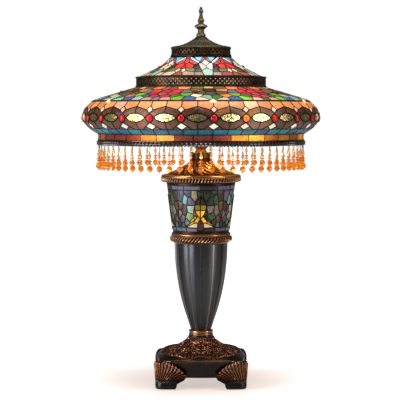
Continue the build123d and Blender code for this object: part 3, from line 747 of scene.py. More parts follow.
# %% The slope
dome_seeds = [
    ("lemon", 0, 124), ("maroon|crimson", 0, 140), ("olive", 0, 158), ("moss", 8, 125),
    ("ochre|orange", 9, 141),
    ("olive", 6.8, 157), ("mint/leaf", 3.2, 181), ("cream/orange", 8.4, 172), ("steel_blue", 11.8, 187),
    ("lilac", 15.5, 149), ("orange", 19.5, 126.5), ("lime", 14.8, 165), ("lime|mint", 18.6, 183),
    ("scarlet", 22.2, 146), ("crimson", 23.4, 162), ("crimson|scarlet", 26.5, 175), ("rose", 28, 133),
    ("crimson|scarlet", 30, 148), ("maroon|rose", 30, 162), ("leaf", 20.8, 173), ("blush", 25.5, 190),
    ("lilac|olive", 30, 190), ("mint|cream", 5.6, 191),
]
SLOPE_END = 196.4
found = cells(polar_seeds(dome_seeds), math.radians(30), math.log(119.6), math.log(SLOPE_END))
dome_tiles = sectors(found, SHADE_SECTORS, SHADE_YAW, from_log(shade_skin))
leaded("dome", dome_tiles, shade_skin, "shade", ("dome_glass",), shade_glass, 2.2)


# %% [markdown]
# The belt repeats 24 times and its lines are clear, so its outlines are listed one by one: a peach
# tile, a small pale diamond above and a larger one below each round jewel, the ground round each
# oval eye, then the blue row and the amber row. Half a repeat is drawn, from the middle of an eye to
# the jewel.

# %% The belt
JEWELS = 24
CELL = 360 / JEWELS
HALF_ARC = 27.96
EYE_YAW = SHADE_YAW - CELL / 2
belt_half = [
    ("peach|peach|orange|salmon", [(-28, 514.2), (0, 514.2), (0, 505), (-21.7, 499), (-28, 505.5)]),
    ("umber|umber|umber|ochre", [(0, 505), (-21.7, 498.8), (-28, 493.7), (-28, 485.7), (0, 485.7)]),
    ("mauve|umber", [(0, 485.7), (-28, 485.7), (-28, 477.4), (-18.2, 471.2), (-10, 466), (0, 466)]),
    ("mauve", [(-18.2, 471.2), (-28, 465.4), (-10, 465.8)]),
]
belt_across = [
    ("petal", [(-28, 505.4), (-21.7, 499.5), (-28, 493.6), (-34.3, 499.5)]),
    ("pearl", [(-28, 477.4), (-18.2, 471.2), (-28, 465.2), (-37.8, 471.2)]),
]


def heights_to_s(rows):
    """(millimetres along the belt, height) as (degrees, distance down the shade's profile)."""
    _, s, line = shade_skin
    flat = np.asarray(rows, float)
    down = np.interp(-flat[:, 1], -line[:, 1], s)
    return np.column_stack((flat[:, 0] / HALF_ARC * CELL / 2, down))


belt_tiles = []
for k in range(JEWELS):
    middle = (EYE_YAW + k * CELL, 0)
    for glass, rows in belt_half:
        flat = heights_to_s(rows)
        belt_tiles.append(tile(flat + middle, glass))
        belt_tiles.append(tile(flat[::-1] * (-1, 1) + middle, glass))
    for glass, rows in belt_across:
        belt_tiles.append(tile(heights_to_s(rows) + middle, glass))
leaded(
    "belt", belt_tiles, shade_skin, "shade", ("belt_glass", "shoulder_glass"), shade_glass, 2.7
)


# %% The blue row and the amber row
def row_of(count, top, bottom, glass, yaw):
    """count equal tiles between two heights."""
    wide = 360 / count
    _, s, line = shade_skin
    high, low = np.interp((-top, -bottom), -line[:, 1], s)
    box = np.array(((0, high), (wide, high), (wide, low), (0, low)))
    return [tile(box + (yaw + k * wide, 0), glass) for k in range(count)]


blue_tiles = row_of(48, 465.6, 456.6, "row_blue|row_teal|row_blue", EYE_YAW)
leaded("blue_row", blue_tiles, shade_skin, "shade", ("blue_glass",), shade_glass, 2.2)
amber_tiles = row_of(36, 456.2, 445.4, "amber|honey|amber|dark_amber", SHADE_YAW)
leaded("amber_row", amber_tiles, shade_skin, "shade", ("amber_glass",), amber_glass, 1.6)


# %% [markdown]
# The jewels stand proud of the belt: large ovals of clear granular glass, whose bumps catch the
# bulbs, and round faceted cabochons between them. Each is a dome on an oval foot, made once and
# copied round, with a soldered ring at its edge.

# %% Jewels
def dome_shape(wide, tall, rise, rings, steps, skirt=3.0, bumps=0.0, point=0.0):
    """Point (ring, k): an oval shrunk by cos t and lifted by rise * sin t, t from 0 to nearly 90
    degrees, with a skirt below it. x is across, z is up and -y is outwards. bumps adds a dimple
    pattern sin(5 a + 9 t) * sin(13 t) to the lift, and point thins the oval's ends."""
    t = np.linspace(0, 0.47 * np.pi, rings)[:, None]
    a = np.arange(steps)[None, :] * 2 * np.pi / steps
    lift = rise * np.sin(t) + bumps * np.sin(5 * a + 9 * t) * np.sin(13 * t)
    x = wide / 2 * np.cos(t) * np.cos(a)
    z = tall / 2 * np.cos(t) * np.sin(a) * np.abs(np.sin(a)) ** point
    x, z, y = np.vstack((x[:1], x)), np.vstack((z[:1], z)), np.vstack((np.full((1, steps), skirt), -lift))
    points = np.stack((x, y, z), -1).reshape(-1, 3)
    ring = np.arange(steps)
    blocks = [grid_faces(rings + 1, steps), ring[::-1][None], (rings * steps + ring)[None]]
    return outward((points, blocks))


def oval_ring(wide, tall, thick, steps=32, across=6, point=0.0):
    """A bead of solder: a small circle of points carried round an oval with thinned ends."""
    a = np.arange(steps)[:, None] * 2 * np.pi / steps
    b = np.arange(across)[None, :] * 2 * np.pi / across
    x = (wide / 2 + thick * np.cos(b)) * np.cos(a)
    z = (tall / 2 + thick * np.cos(b)) * np.sin(a) * np.abs(np.sin(a)) ** point
    points = np.stack((x, np.broadcast_to(-thick * np.sin(b), x.shape), z), -1).reshape(-1, 3)
    return outward((points, [grid_faces(steps, across, close_rows=True)]))


def round_the_belt(shape, yaw, count, radius, height, tip=0.0):
    """Copies of a shape that faces the front, tipped back by tip degrees and set round the shade."""
    c, s = math.cos(math.radians(tip)), math.sin(math.radians(tip))
    tipped = shape[0] @ np.array(((1, 0, 0), (0, c, s), (0, -s, c))).T
    turns = turning(yaw + np.arange(count) * 360 / count)
    return repeat((tipped + (0, -radius, height), shape[1]), turns)


def jewel_values(shape, colours, glow, copies_count, focus=1.0):
    """tint, glow and place for copies of one jewel. focus narrows the places that glow."""
    points = shape[0]
    each = len(points) // copies_count
    tint = np.array([linear(*colour) for colour in colours]).repeat(each, 0)
    theta = np.degrees(np.arctan2(points[:, 0], -points[:, 1]))
    return {"tint": tint, "glow": glow[0] + glow[1] * glow_at(theta) ** focus, "place": points * 0.5}


BELT_RADIUS = 213.8
BELT_MIDDLE = 486.0
eye = dome_shape(36, 14.2, 3.0, 9, 32, bumps=0.16, point=0.3)
eyes = round_the_belt(eye, EYE_YAW, JEWELS, BELT_RADIUS - 1.0, BELT_MIDDLE)
eye_colours = [np.array((118, 104, 44)) + chance.uniform(-14, 14, 3) for _ in range(JEWELS)]
# painted glow: the granular eyes at the glow bearings light up strongly, as painted hot spots of the bulbs
values = jewel_values(eyes, eye_colours, (0.32, 22.0), JEWELS, focus=1.4)
add_piece("eye_ovals", eyes, "shade", granular_glass, ("eye_jewels",), values=values)

reds = round_the_belt(dome_shape(12.6, 12.6, 4.0, 6, 16), SHADE_YAW, JEWELS, BELT_RADIUS - 0.6, 485.0)
red_colours = [np.array((176, 14, 6)) + chance.uniform(-12, 12, 3) for _ in range(JEWELS)]
red_colours[1] = np.array((226, 96, 14))
values = jewel_values(reds, red_colours, (0.35, 0.7), JEWELS)
add_piece("red_cabochons", reds, "shade", jewel_glass, ("round_cabochons",), values=values)

rings = join((
    round_the_belt(oval_ring(36.6, 14.8, 1.3, point=0.3), EYE_YAW, JEWELS, BELT_RADIUS + 0.1, BELT_MIDDLE),
    round_the_belt(oval_ring(13.4, 13.4, 1.2, 20), SHADE_YAW, JEWELS, BELT_RADIUS + 0.1, 485.0),
))
add_piece("jewel_rings", rings, "shade", solder, ())

# %% Loose jewels and the cream diamonds on the slope
def on_skin(shape, surface, thetas, downs, lift):
    """Copies of a front-facing shape laid on a turned surface with their faces along its normal."""
    place = surface[0]
    thetas, downs = np.asarray(thetas, float), np.asarray(downs, float)
    spots = place(thetas, downs, lift)
    normal = place(thetas, downs, lift + 1) - spots
    a = np.radians(thetas)
    across = np.stack((np.cos(a), np.sin(a), np.zeros_like(a)), -1)
    up = np.cross(normal, across) * -1
    turns = np.stack((across, -normal, -up), -1)
    return repeat(shape, turns, spots)


def down_at_radius(surface, radius):
    """Distance down the profile where it has this radius."""
    return float(np.interp(radius, surface[2][:, 0], surface[1]))


spots = SHADE_YAW + np.arange(SHADE_SECTORS) * 60
dark_jewel = dome_shape(11, 11, 4.6, 6, 16)
loose = join((
    on_skin(dark_jewel, shade_skin, spots - 9.5, np.full(6, down_at_radius(shade_skin, 156)), 0.2),
    on_skin(
        dome_shape(7.5, 7.5, 3.0, 6, 16), crown_skin, spots + 12.4,
        np.full(6, down_at_radius(crown_skin, 77)), 0.2,
    ),
))
values = jewel_values(loose, [(92, 14, 16)] * 12, (0.05, 0.1), 12)
add_piece("dark_jewels", loose, "shade", jewel_glass, (), values=values)
diamond = dome_shape(13.5, 11.5, 1.0, 4, 4)
diamond_down = float(np.interp(-513.2, -shade_skin[2][:, 1], shade_skin[1]))
cream = on_skin(diamond, shade_skin, spots, np.full(6, diamond_down), 0.5)
values = jewel_values(cream, [(250, 236, 176)] * 6, (0.3, 0.3), 6)
add_piece("cream_diamonds", cream, "shade", shade_glass, (), values=values)


# %% [markdown]
# Two pierced galleries step the shade down. They are rolled from sheet that is punched with small
# round holes in staggered rows. The holes here are real openings. One cell of the pattern is a
# small rectangle with an eight-sided hole, and its eight outer points match those of the cells
# beside it and above it, so the copies meet without a gap.

# %% Pierced bands
def pierced_cell(wide, tall, hole, thickness):
    """Two rectangles of eight points, one ring of eight round the hole, on the front and back of
    the sheet. x is across, y is depth, z is up."""
    square = np.array(((-1, -1), (0, -1), (1, -1), (1, 0), (1, 1), (0, 1), (-1, 1), (-1, 0)))
    edge = square * (wide / 2, tall / 2)
    turn = np.radians(np.array((225, 270, 315, 0, 45, 90, 135, 180)))
    ring = np.stack((np.cos(turn), np.sin(turn)), -1) * hole
    lip = ring * 1.25
    loops = [(edge, 0.0), (lip, -0.35), (ring, 0.1), (ring, thickness), (edge, thickness)]
    points = np.vstack([
        np.column_stack((flat[:, 0], np.full(8, depth), flat[:, 1])) for flat, depth in loops
    ])
    return points, [grid_faces(5, 8)[:, ::-1]]


def bend(shape, radius):
    """Rolls a flat sheet round the axis: x becomes an angle x / radius, and y a smaller radius."""
    points, blocks = shape
    angle, r = points[:, 0] / radius, radius - points[:, 1]
    return np.stack((r * np.sin(angle), -r * np.cos(angle), points[:, 2]), -1), blocks


ROLL = 1.5  # radius of the rolled edges


def gallery(radius, bottom, top, rows, count, pitch, hole, lip, wall=1.2):
    """Rows of pierced cells, each row turned by half a cell, between two plain turned rims. A flat
    lip closes the top as far in as the radius lip."""
    wide = 2 * math.pi * radius / count
    middle = (bottom + top) / 2
    shapes = []
    for k in range(rows):
        height = middle + (k - (rows - 1) / 2) * pitch
        cell = pierced_cell(wide, pitch, hole, wall)
        rolled = bend((cell[0] + (0, 0, height), cell[1]), radius)
        shapes.append(repeat(rolled, turning((np.arange(count) + k % 2 / 2) * 360 / count)))
    low, high = middle - rows * pitch / 2, middle + rows * pitch / 2
    inner = radius - wall
    low_face, high_face = [(lip, top - wall), (radius, top - wall)], [(radius, top), (lip, top)]
    flange = np.array([*low_face, *high_face, (lip, top - wall / 2)])
    shapes.append(revolve(flange[:, 0], flange[:, 1], count * 2, loop=True))
    for start, end in ((bottom, low), (high, top)):
        outer_edge = start if start == bottom else end
        rim = np.array([
            (inner, start), (radius, start), (radius, end), (inner, end), (inner, (start + end) / 2),
        ])
        shapes.append(revolve(rim[:, 0], rim[:, 1], count * 2, loop=True))
        a = np.arange(10) * 2 * np.pi / 10
        roll_z = outer_edge + (ROLL if start == bottom else -ROLL)
        shapes.append(revolve(radius - 0.2 + ROLL * np.cos(a), roll_z + ROLL * np.sin(a), count, loop=True))
    return join(shapes)


def pearls(radius, height, count, size, phase=0.0):
    """A row of small beads round a rim: each a six-sided turned ball with five rings."""
    t = np.linspace(-0.42 * np.pi, 0.42 * np.pi, 5)
    ball = revolve(size * np.cos(t), size * np.sin(t), 6)
    turns = turning((np.arange(count) + phase) * 360 / count)
    return repeat((ball[0] + (0, -radius, height), ball[1]), turns)


def wear_by_noise(shape, low=0.1, high=0.6):
    """A wear value for each point that drifts slowly round the piece: two waves multiplied."""
    points = shape[0]
    a = np.arctan2(points[:, 1], points[:, 0])
    drift = 0.5 + 0.5 * np.sin(7 * a + 0.31 * points[:, 2]) * np.cos(11 * a - 0.2 * points[:, 2])
    return low + (high - low) * drift


for name, node_name, radius, bottom, top, rows, count, hole, lip in (
    ("upper_gallery_band", "upper_gallery", 53.2, 597.2, 611.0, 2, 44, 1.35, 48.0),
    ("lower_gallery_band", "lower_gallery", 117.6, 539.8, 558.8, 3, 88, 1.15, 112.4),
):
    band = gallery(radius, bottom, top, rows, count, 4.0, hole, lip)
    beads = join([pearls(radius + 0.6, z, count * 2, 1.0) for z in (bottom + 0.9, top - 0.9)])
    whole = join((band, beads))
    wear = wear_by_noise(whole, 0.0, 0.5)
    add_piece(name, whole, "shade", pierced_bronze, (node_name,), values={"wear": wear})


# %% [markdown]
# Behind the lower gallery's holes lies a thin strip with a painted glow. It is a guess, and it
# stands for the light inside the shade that makes the holes show as bright dots. Nothing shows
# what lies there in the lamp.

# %% The painted glow strip
strip = np.array([(115.4, 541.6), (115.7, 541.6), (115.7, 557.0), (115.4, 557.0), (115.4, 549.0)])
glow_strip = revolve(strip[:, 0], strip[:, 1], 120, loop=True)
theta = np.degrees(np.arctan2(glow_strip[0][:, 0], -glow_strip[0][:, 1]))
values = {
    "tint": np.tile(linear(255, 226, 178), (len(theta), 1)),
    "glow": 0.35 + 0.5 * glow_at(theta),
    "place": glow_strip[0] * 0.1,
}
add_piece("gallery_glow_strip", glow_strip, "shade", shade_glass, (), values=values)


# %% [markdown]
# Under the amber row runs a bronze channel, and from its braid hang a row of small dark beads and
# 64 strands. A strand is a hooked wire with a clear drop, two faceted discs, a faceted ball and a
# tip. The beads are cut glass, so their faces stay flat. Four strands share a piece, as in the CAD.

# %% The rim and the fringe
channel = np.array([
    (182.2, 446.4), (181.8, 443.0), (182.6, 441.0), (186.0, 440.8), (186.6, 443.8), (187.8, 444.4),
    (187.8, 445.6), (186.8, 446.4),
])
rim = revolve(channel[:, 0], channel[:, 1], 144, loop=True)
wear = wear_by_noise(rim, 0.0, 0.3)
add_piece("rim_band", rim, "shade", bronze, ("rim_channel",), values={"wear": wear})

braid = np.array([
    (184.0, 440.9), (184.0, 438.4), (185.0, 437.4), (186.8, 437.4), (187.4, 438.6), (187.2, 440.9)
])
cord = revolve(braid[:, 0], braid[:, 1], 144, loop=True)
small = join((
    pearls(187.9, 441.6, 150, 2.0), pearls(187.4, 437.8, 192, 2.2, 0.5), pearls(183.8, 437.8, 192, 1.6, 0.5)
))
trim = join((cord, small))


def bead_material(name, base, transmission, roughness, glow):
    """Cut glass: most light passes through, tinted by the mesh's own colour, and a little glows."""
    material, own, shader = new_material(name)
    tint = node(own, "ShaderNodeAttribute", attribute_name="tint").outputs["Color"]
    place = node(own, "ShaderNodeTexCoord").outputs["Object"]
    cloud = node(own, "ShaderNodeTexNoise", {"Vector": place, "Scale": 160.0, "Detail": 2.0})
    shade = node(own, "ShaderNodeMapRange", {"Value": cloud.outputs[0], 1: 0.3, 2: 0.7, 3: 0.75, 4: 1.1})
    shade = shade.outputs[0]
    colour = mix_colour(own, 1.0, tint if base is None else linear(*base), shade, "MULTIPLY")
    own.links.new(colour, shader.inputs["Base Color"])
    own.links.new(colour, shader.inputs["Emission Color"])
    shader.inputs["Emission Strength"].default_value = glow
    shader.inputs["Transmission Weight"].default_value = transmission
    shader.inputs["Roughness"].default_value = roughness
    shader.inputs["IOR"].default_value = 1.5
    bump(own, shader, cloud.outputs[0], 0.1, 0.0003)
    return material


jet_beads = bead_material("jet_beads", (66, 58, 52), 0.0, 0.12, 0.0)
cut_beads = bead_material("cut_glass_beads", None, 0.78, 0.05, 0.17)
add_piece("braid_beads", trim, "shade", jet_beads, ("fringe_braid",))


def bead(profile, sides, twist=0.0):
    """A cut bead: a turned profile with few sides, each ring turned on by twist of a side."""
    profile = np.array(profile, float)
    points, blocks = revolve(profile[:, 0], profile[:, 1], sides)
    rings = points.reshape(len(profile), sides, 3)
    turns = turning(np.arange(len(profile)) * twist * 360 / sides)
    return np.einsum("kij,knj->kni", turns, rings).reshape(-1, 3), blocks


AMBER, CLEAR = (226, 146, 46), (216, 178, 132)
strand_parts = [
    (bead([(0.9, 415.8), (2.3, 417.2), (2.7, 419.2), (2.0, 423.0), (1.1, 427.0), (0.5, 429.4)], 8), CLEAR),
    (bead([(0.5, 413.6), (1.3, 414.0), (1.5, 414.7), (0.8, 415.8)], 6), (214, 110, 34)),
    (bead([(1.4, 409.3), (4.1, 410.6), (4.1, 411.6), (1.4, 412.9)], 8, 0.5), AMBER),
    (bead([(1.2, 407.9), (1.7, 408.3), (1.7, 408.8), (1.2, 409.2)], 6), (196, 92, 22)),
    (bead([(1.4, 404.4), (3.9, 405.5), (3.9, 406.5), (1.4, 407.8)], 8, 0.5), AMBER),
    (bead([(1.3, 392.8), (4.1, 394.6), (5.4, 397.2), (5.2, 399.2), (3.6, 402.2),
    (1.2, 403.6)], 8, 0.5), AMBER),
    (bead([(0.4, 391.3), (1.1, 391.7), (1.2, 392.4), (0.6, 392.8)], 6), (206, 104, 26)),
]
hook = smooth_line([(0, 429.0), (0, 430.6), (0.9, 432.2), (0, 434.0), (-0.7, 435.6), (0, 437.2)], 12)
strand = join([shape for shape, _ in strand_parts])
strand_tint = np.vstack([np.tile(linear(*colour), (len(shape[0]), 1)) for shape, colour in strand_parts])
GROUPS, PER_GROUP = 16, 4
FRINGE_RADIUS = 186.0
PITCH = 360 / (GROUPS * PER_GROUP)


def wire(path, radius, across=6):
    """A thin wire in the plane that faces the front: circles of points along a line."""
    path = np.asarray(path, float)
    run = np.gradient(path, axis=0)
    run /= np.linalg.norm(run, axis=1, keepdims=True)
    b = np.arange(across) * 2 * np.pi / across
    side = np.stack((-run[:, 1], run[:, 0]), -1)
    flat = path[:, None] + side[:, None] * (radius * np.cos(b))[None, :, None]
    depth = np.broadcast_to(radius * np.sin(b), flat.shape[:2])
    points = np.stack((flat[..., 0], depth, flat[..., 1]), -1).reshape(-1, 3)
    ring = np.arange(across)
    last = (len(path) - 1) * across + ring
    return outward((points, [grid_faces(len(path), across), ring[::-1][None], last[None]]))


hook_shape = wire(hook, 0.5)
for group in range(GROUPS):
    angles = (group * PER_GROUP + np.arange(PER_GROUP)) * PITCH
    places = (strand[0] + (0, -FRINGE_RADIUS, 0), strand[1])
    glass = repeat(places, turning(angles))
    values = {"tint": np.tile(strand_tint, (PER_GROUP, 1))}
    body = f"bead_group_{group + 1:02d}"
    name, stands_for = f"strands_{group + 1:02d}", (f"fringe_{group + 1:02d}",)
    add_piece(name, glass, body, cut_beads, stands_for, sharp=20, values=values)
    hooks = repeat((hook_shape[0] + (0, -FRINGE_RADIUS, 0), hook_shape[1]), turning(angles))
    add_piece(f"hooks_{group + 1:02d}", hooks, body, bronze, ())


# %% [markdown]
# The urn glass is drawn as the shade is, on a surface that is nearly a cylinder, in four sectors.
# The two halves of a sector take different glass, blue and grey on the left and green on the
# right, and the right half's glass is mostly darker: that darkness is painted shade, as of light
# from the left. Most of what stands on each axis is covered by the plated pieces of the next step.

# %% The urn's glass
rack.update({
    "u_gold": ((150, 120, 30), (0.3, 0.0)),
    "u_ruby": ((150, 48, 44), (0.25, 0.0)),
    "u_yellow": ((212, 176, 40), (0.4, 0.0)),
    "u_rust": ((112, 66, 28), (0.15, 0.0)),
    "u_stem": ((78, 24, 24), (0.2, 0.0)),
    "u_cream": ((214, 198, 154), (0.3, 0.0)),
    "u_tan": ((196, 158, 108), (0.2, 0.0)),
    "u_beige": ((158, 150, 120), (0.15, 0.0)),
    "u_pine": ((36, 58, 44), (0.05, 0.0)),
    "u_aqua": ((126, 176, 172), (0.25, 0.0)),
    "u_green": ((66, 112, 64), (0.12, 0.0)),
    "u_violet": ((106, 104, 128), (0.15, 0.0)),
    "u_celery": ((176, 192, 168), (0.25, 0.0)),
    "u_ash": ((140, 132, 124), (0.1, 0.0)),
    "u_leaf": ((160, 200, 140), (0.3, 0.0)),
    "u_blue": ((84, 96, 136), (0.15, 0.0)),
    "u_navy": ((40, 48, 66), (0.05, 0.0)),
    "u_mauve": ((104, 78, 90), (0.1, 0.0)),
    "u_brown": ((84, 62, 44), (0.05, 0.0)),
    "u_teal": ((92, 122, 128), (0.15, 0.0)),
    "u_border": ((116, 118, 148), (0.12, 0.0)),
})
urn_line = [(61.6, 364), (58.8, 343), (56.1, 322), (53.4, 301), (50.6, 280)]
urn_skin = skin(urn_line)
URN_MIDDLE = 56.0
URN_SECTORS = 4
# painted shade: in each a/b pair the right-hand glass b is mostly a darker copy of a
urn_seeds = [
    ("u_pine", 0, 334), ("u_pine", 0, 321), ("u_pine", 0, 309.5), ("u_pine", 0, 349),
    ("u_beige/u_pine", 11, 347.5),
    ("u_ruby/u_stem", 5.6, 316), ("u_violet/u_pine", 19.5, 335), ("u_aqua/u_green", 28.5, 339),
    ("u_celery/u_ash", 19.5, 321), ("u_leaf/u_green", 21.5, 308.5), ("u_yellow/u_rust", 5.5, 301),
    ("u_yellow/u_rust", 14.5, 295.5), ("u_stem", 0, 294.5), ("u_cream/u_tan", 8, 290),
    ("u_blue/u_pine", 22, 351),
    ("u_mauve/u_ash", 31, 319), ("u_brown/u_rust", 40, 326), ("u_teal/u_pine", 27, 295),
    ("u_violet/u_brown", 37, 344),
    ("u_mauve/u_rust", 37.5, 303), ("u_ash/u_pine", 43, 312), ("u_brown/u_navy", 45, 293),
    ("u_pine/u_teal", 36, 291.5),
]
TALLER = 0.72


def from_side(outline):
    """(millimetres round the urn, height) as (degrees, distance down the profile)."""
    _, s, line = urn_skin
    down = np.interp(-outline[:, 1] / TALLER, -line[:, 1], s)
    return np.column_stack((np.degrees(outline[:, 0] / URN_MIDDLE), down))


flat_seeds = [(glass, math.radians(turn) * URN_MIDDLE, height * TALLER) for glass, turn, height in urn_seeds]
found = cells(flat_seeds, math.radians(45) * URN_MIDDLE, 288.0 * TALLER, 355.5 * TALLER)
URN_YAW = -1.0
urn_tiles = sectors(found, URN_SECTORS, URN_YAW, from_side)
for top, bottom in ((363.6, 355.5), (288.0, 280.4)):
    high, low = np.interp((-top, -bottom), -urn_skin[2][:, 1], urn_skin[1])
    box = np.array(((0, high), (30, high), (30, low), (0, low)))
    for k in range(12):
        # painted shade: the border tiles on the right half of each sector take the darker navy glass
        shaded_half = 0 <= (k * 30) % 90 < 45
        glass_names = "u_border|u_blue" if not shaded_half else "u_border|u_navy"
        urn_tiles.append(tile(box + (URN_YAW + k * 30, 0), glass_names))
leaded("urn", urn_tiles, urn_skin, "stand", ("urn_glass",), urn_glass, 2.2)

# %% [markdown]
# The almond and the two crossing bands are plated on: a second layer of glass 1.2 mm proud of the
# urn, which makes their lead lines the boldest. Corners are (degrees, height), for one half.

# %% The almond and the crossing bands
PLATED = 1.2
plated_skin = skin([(r + PLATED, z) for r, z in urn_line])
f = np.linspace(0, 1, 9)
almond = np.stack((10.5 * np.sin(np.pi * f) ** 0.9, 345 - 41 * f), -1)
rack["u_bright"] = ((226, 178, 26), (0.55, 0.0))
rack["u_smoke"] = ((52, 44, 24), (0.05, 0.0))
lotus_half = [
    ("u_smoke", [(0, 345), *almond[1:4], (0, 329.6)]),
    ("u_gold", [(0, 329.6), *almond[3:6], (0, 319.4)]),
    ("u_bright|u_gold", [(0, 319.4), *almond[5:8], (0, 304)]),
    ("u_bright", [(0, 304), almond[7], (12, 300.5), (12.6, 296.2), (5, 297)]),
    ("u_bright", [(12, 300.5), (24, 293.2), (31, 288.4), (12.6, 296.2)]),
    ("u_cream", [(5, 297), (12.6, 296.2), (29, 288.6), (6, 287.6)]),
]
lotus_across = [("u_stem", [(0, 304), (5, 297), (6, 282.5), (-6, 282.5), (-5, 297)])]
found = drawn_cells(lotus_half, lotus_across, plated_skin)
lotus_tiles = sectors(found, URN_SECTORS, URN_YAW, np.copy)
leaded("urn_lotus", lotus_tiles, plated_skin, "stand", (), urn_glass, 2.8)


# %% [markdown]
# Two rope rings hold the urn. Each has a smooth rolled part and a band of slanting strands, as if a
# cord had been laid round it. The strands are ridges in the radius of a turned profile, and the
# same ridge says where the copper plate is rubbed bright.

# %% Rope rings
def rope_ring(outer, inner, low, high, strands, slant, depth):
    """outer is the profile, bottom first. Between low and high its radius gains depth times a ridge
    of phase strands * a + slant * z. inner closes the loop. Returns the shape and its wear."""
    line = even_line(smooth_line(outer, 80), 34)
    steps_round = strands * 8
    a = np.arange(steps_round)[None, :] / steps_round
    z = line[:, 1:]
    window = step(z, low, low + 1.2) * (1 - step(z, high - 1.2, high))
    twist = ridge(strands * a + slant * (z - low) / (high - low), 0.6)
    r = line[:, :1] + depth * window * (twist - 0.5)
    loop_r = np.vstack((r, np.full((len(inner), steps_round), 0.0) + np.array(inner)[:, :1]))
    loop_z = np.concatenate((line[:, 1], np.array(inner)[:, 1]))
    wear = np.clip(np.where(window > 0.3, 1.9 * twist - 1.0, 0.5), 0, 1)
    wear = np.vstack((wear + 0 * r, np.zeros((len(inner), steps_round))))
    return revolve(loop_r, loop_z, steps_round, loop=True), wear.ravel()


lower_outer = [
    (48.9, 257.4), (50.4, 258.2), (51.6, 259.4), (54.4, 261.6), (55.3, 265.5), (54.4, 269.3), (52.4, 270.4),
    (53.6, 272.2), (53.8, 274.2), (52.4, 276.2), (50.6, 276.9),
]
upper_outer = [
    (62.4, 367.7), (64.6, 367.9), (68.2, 368.6), (70.8, 370.6), (71.2, 373.2), (70.4, 374.8), (71.6, 376.4),
    (72.4, 378.4), (71.2, 380.8), (68.0, 381.9), (64.0, 381.9),
]
shape, wear = rope_ring(lower_outer, [(44.5, 276.9), (44.5, 257.4)], 259.6, 270.6, 54, -1.4, 3.2)
add_piece("lower_rope", shape, "stand", copper, ("lower_rope_ring",), values={"wear": wear})
shape, wear = rope_ring(upper_outer, [(57.5, 381.9), (57.5, 367.7)], 367.9, 377.4, 76, -0.6, 3.6)
add_piece("upper_rope", shape, "stand", copper, ("upper_rope_ring",), values={"wear": wear})


# %% [markdown]
# The vase is spun and then fluted: twelve shallow hollows meet in thin raised ribs. Its radius is
# the rib's radius less a hollow that is nearly flat across the flute and gone at the rib.

# %% The fluted vase
vase_line = smooth_line([
    (98, 18.6), (114, 23.6), (136, 30.8), (164, 38.2), (194, 43.7), (226, 47.2), (257, 48.6)
], 60)
FLUTES, VASE_STEPS = 12, 288
a = np.arange(VASE_STEPS)[None, :] / VASE_STEPS
across = np.abs(((a * FLUTES + 0.5) % 1) - 0.5) * 2
hollow = step(across, 0.03, 0.16) * (0.9 + 0.25 * (1 - across)) * (vase_line[:, 1:] * 0.06)
outer = vase_line[:, 1:] - hollow
rib = (1 - step(across, 0.02, 0.07)) * np.ones_like(outer)
inner = np.array([(45.0, 257.0), (43.0, 226.0), (34.0, 164.0), (15.5, 98.0)])
r = np.vstack((outer, np.zeros((len(inner), VASE_STEPS)) + inner[:, :1]))
z = np.concatenate((vase_line[:, 0], inner[:, 1]))
vase = revolve(r, z, VASE_STEPS, loop=True)
wear = np.vstack((rib * 0.6, np.zeros((len(inner), VASE_STEPS)))).ravel()
add_piece(
    "vase_body", vase, "stand", satin_bronze, ("fluted_vase",), sharp=50, values={"wear": wear}
)

collar_line = even_line(smooth_line([
    (20.6, 88.0), (22.0, 88.6), (22.4, 90.6), (21.2, 92.0), (21.4, 93.4), (22.4, 94.6),
    (22.3, 96.2), (20.6, 97.6),
    (18.8, 98.0),
], 60), 26)
collar_r = np.concatenate((collar_line[:, 0], (12.0, 12.0)))
collar_z = np.concatenate((collar_line[:, 1], (98.0, 88.0)))
collar = revolve(collar_r, collar_z, 96, loop=True)
wear = np.where(np.abs(collar[0][:, 2] - 95.2) < 1.8, 0.95, 0.45)
add_piece("neck_ring", collar, "stand", copper, ("neck_collar",), values={"wear": wear})


# %% [markdown]
# The plinth is a cast box with four bowed sides and round corners that sweeps up to the neck like a
# tent. Its outline at a height needs three numbers: how far out the middle of a side is, where the
# side ends, and where the corner is. Acanthus scrolls are cast on the slope. They are spirals: a
# ridge whose phase grows with the distance from the scroll's eye and with the angle round it.

# %% The plinth's form
PLINTH = [
    (20.0, 66.0, 70.0, 58.0), (35.0, 73.0, 77.0, 64.0), (50.0, 76.0, 79.5, 66.5), (56.0, 70.0, 74.5, 62.0),
    (61.0, 59.0, 65.0, 52.0), (65.0, 44.5, 50.0, 38.5), (70.0, 33.2, 39.6, 28.2), (78.0, 23.3, 28.2, 19.9),
    (88.0, 18.7, 22.6, 16.0),
]
SIDE_SHARE = 0.68
SIDE_END = math.degrees(math.atan(SIDE_SHARE))


def plinth_radius(sections, degrees):
    """Distance from the axis for each section and angle. With b the angle from the nearest side's
    middle, it is X / cos b, where X falls as a square from the middle to the side's end, and then
    towards the corner as a power of 1.32, which makes the corner round."""
    side, middle, corner = (sections[:, k][:, None] for k in (1, 2, 3))
    b = np.abs((degrees + 45) % 90 - 45)[None, :]
    along_side = np.clip(b / SIDE_END, 0, 1)
    along_corner = np.clip((b - SIDE_END) / (45 - SIDE_END), 0, 1)
    flat = middle - (middle - side) * along_side**2 - (side - corner) * along_corner**1.32
    return flat / np.cos(np.radians(b))


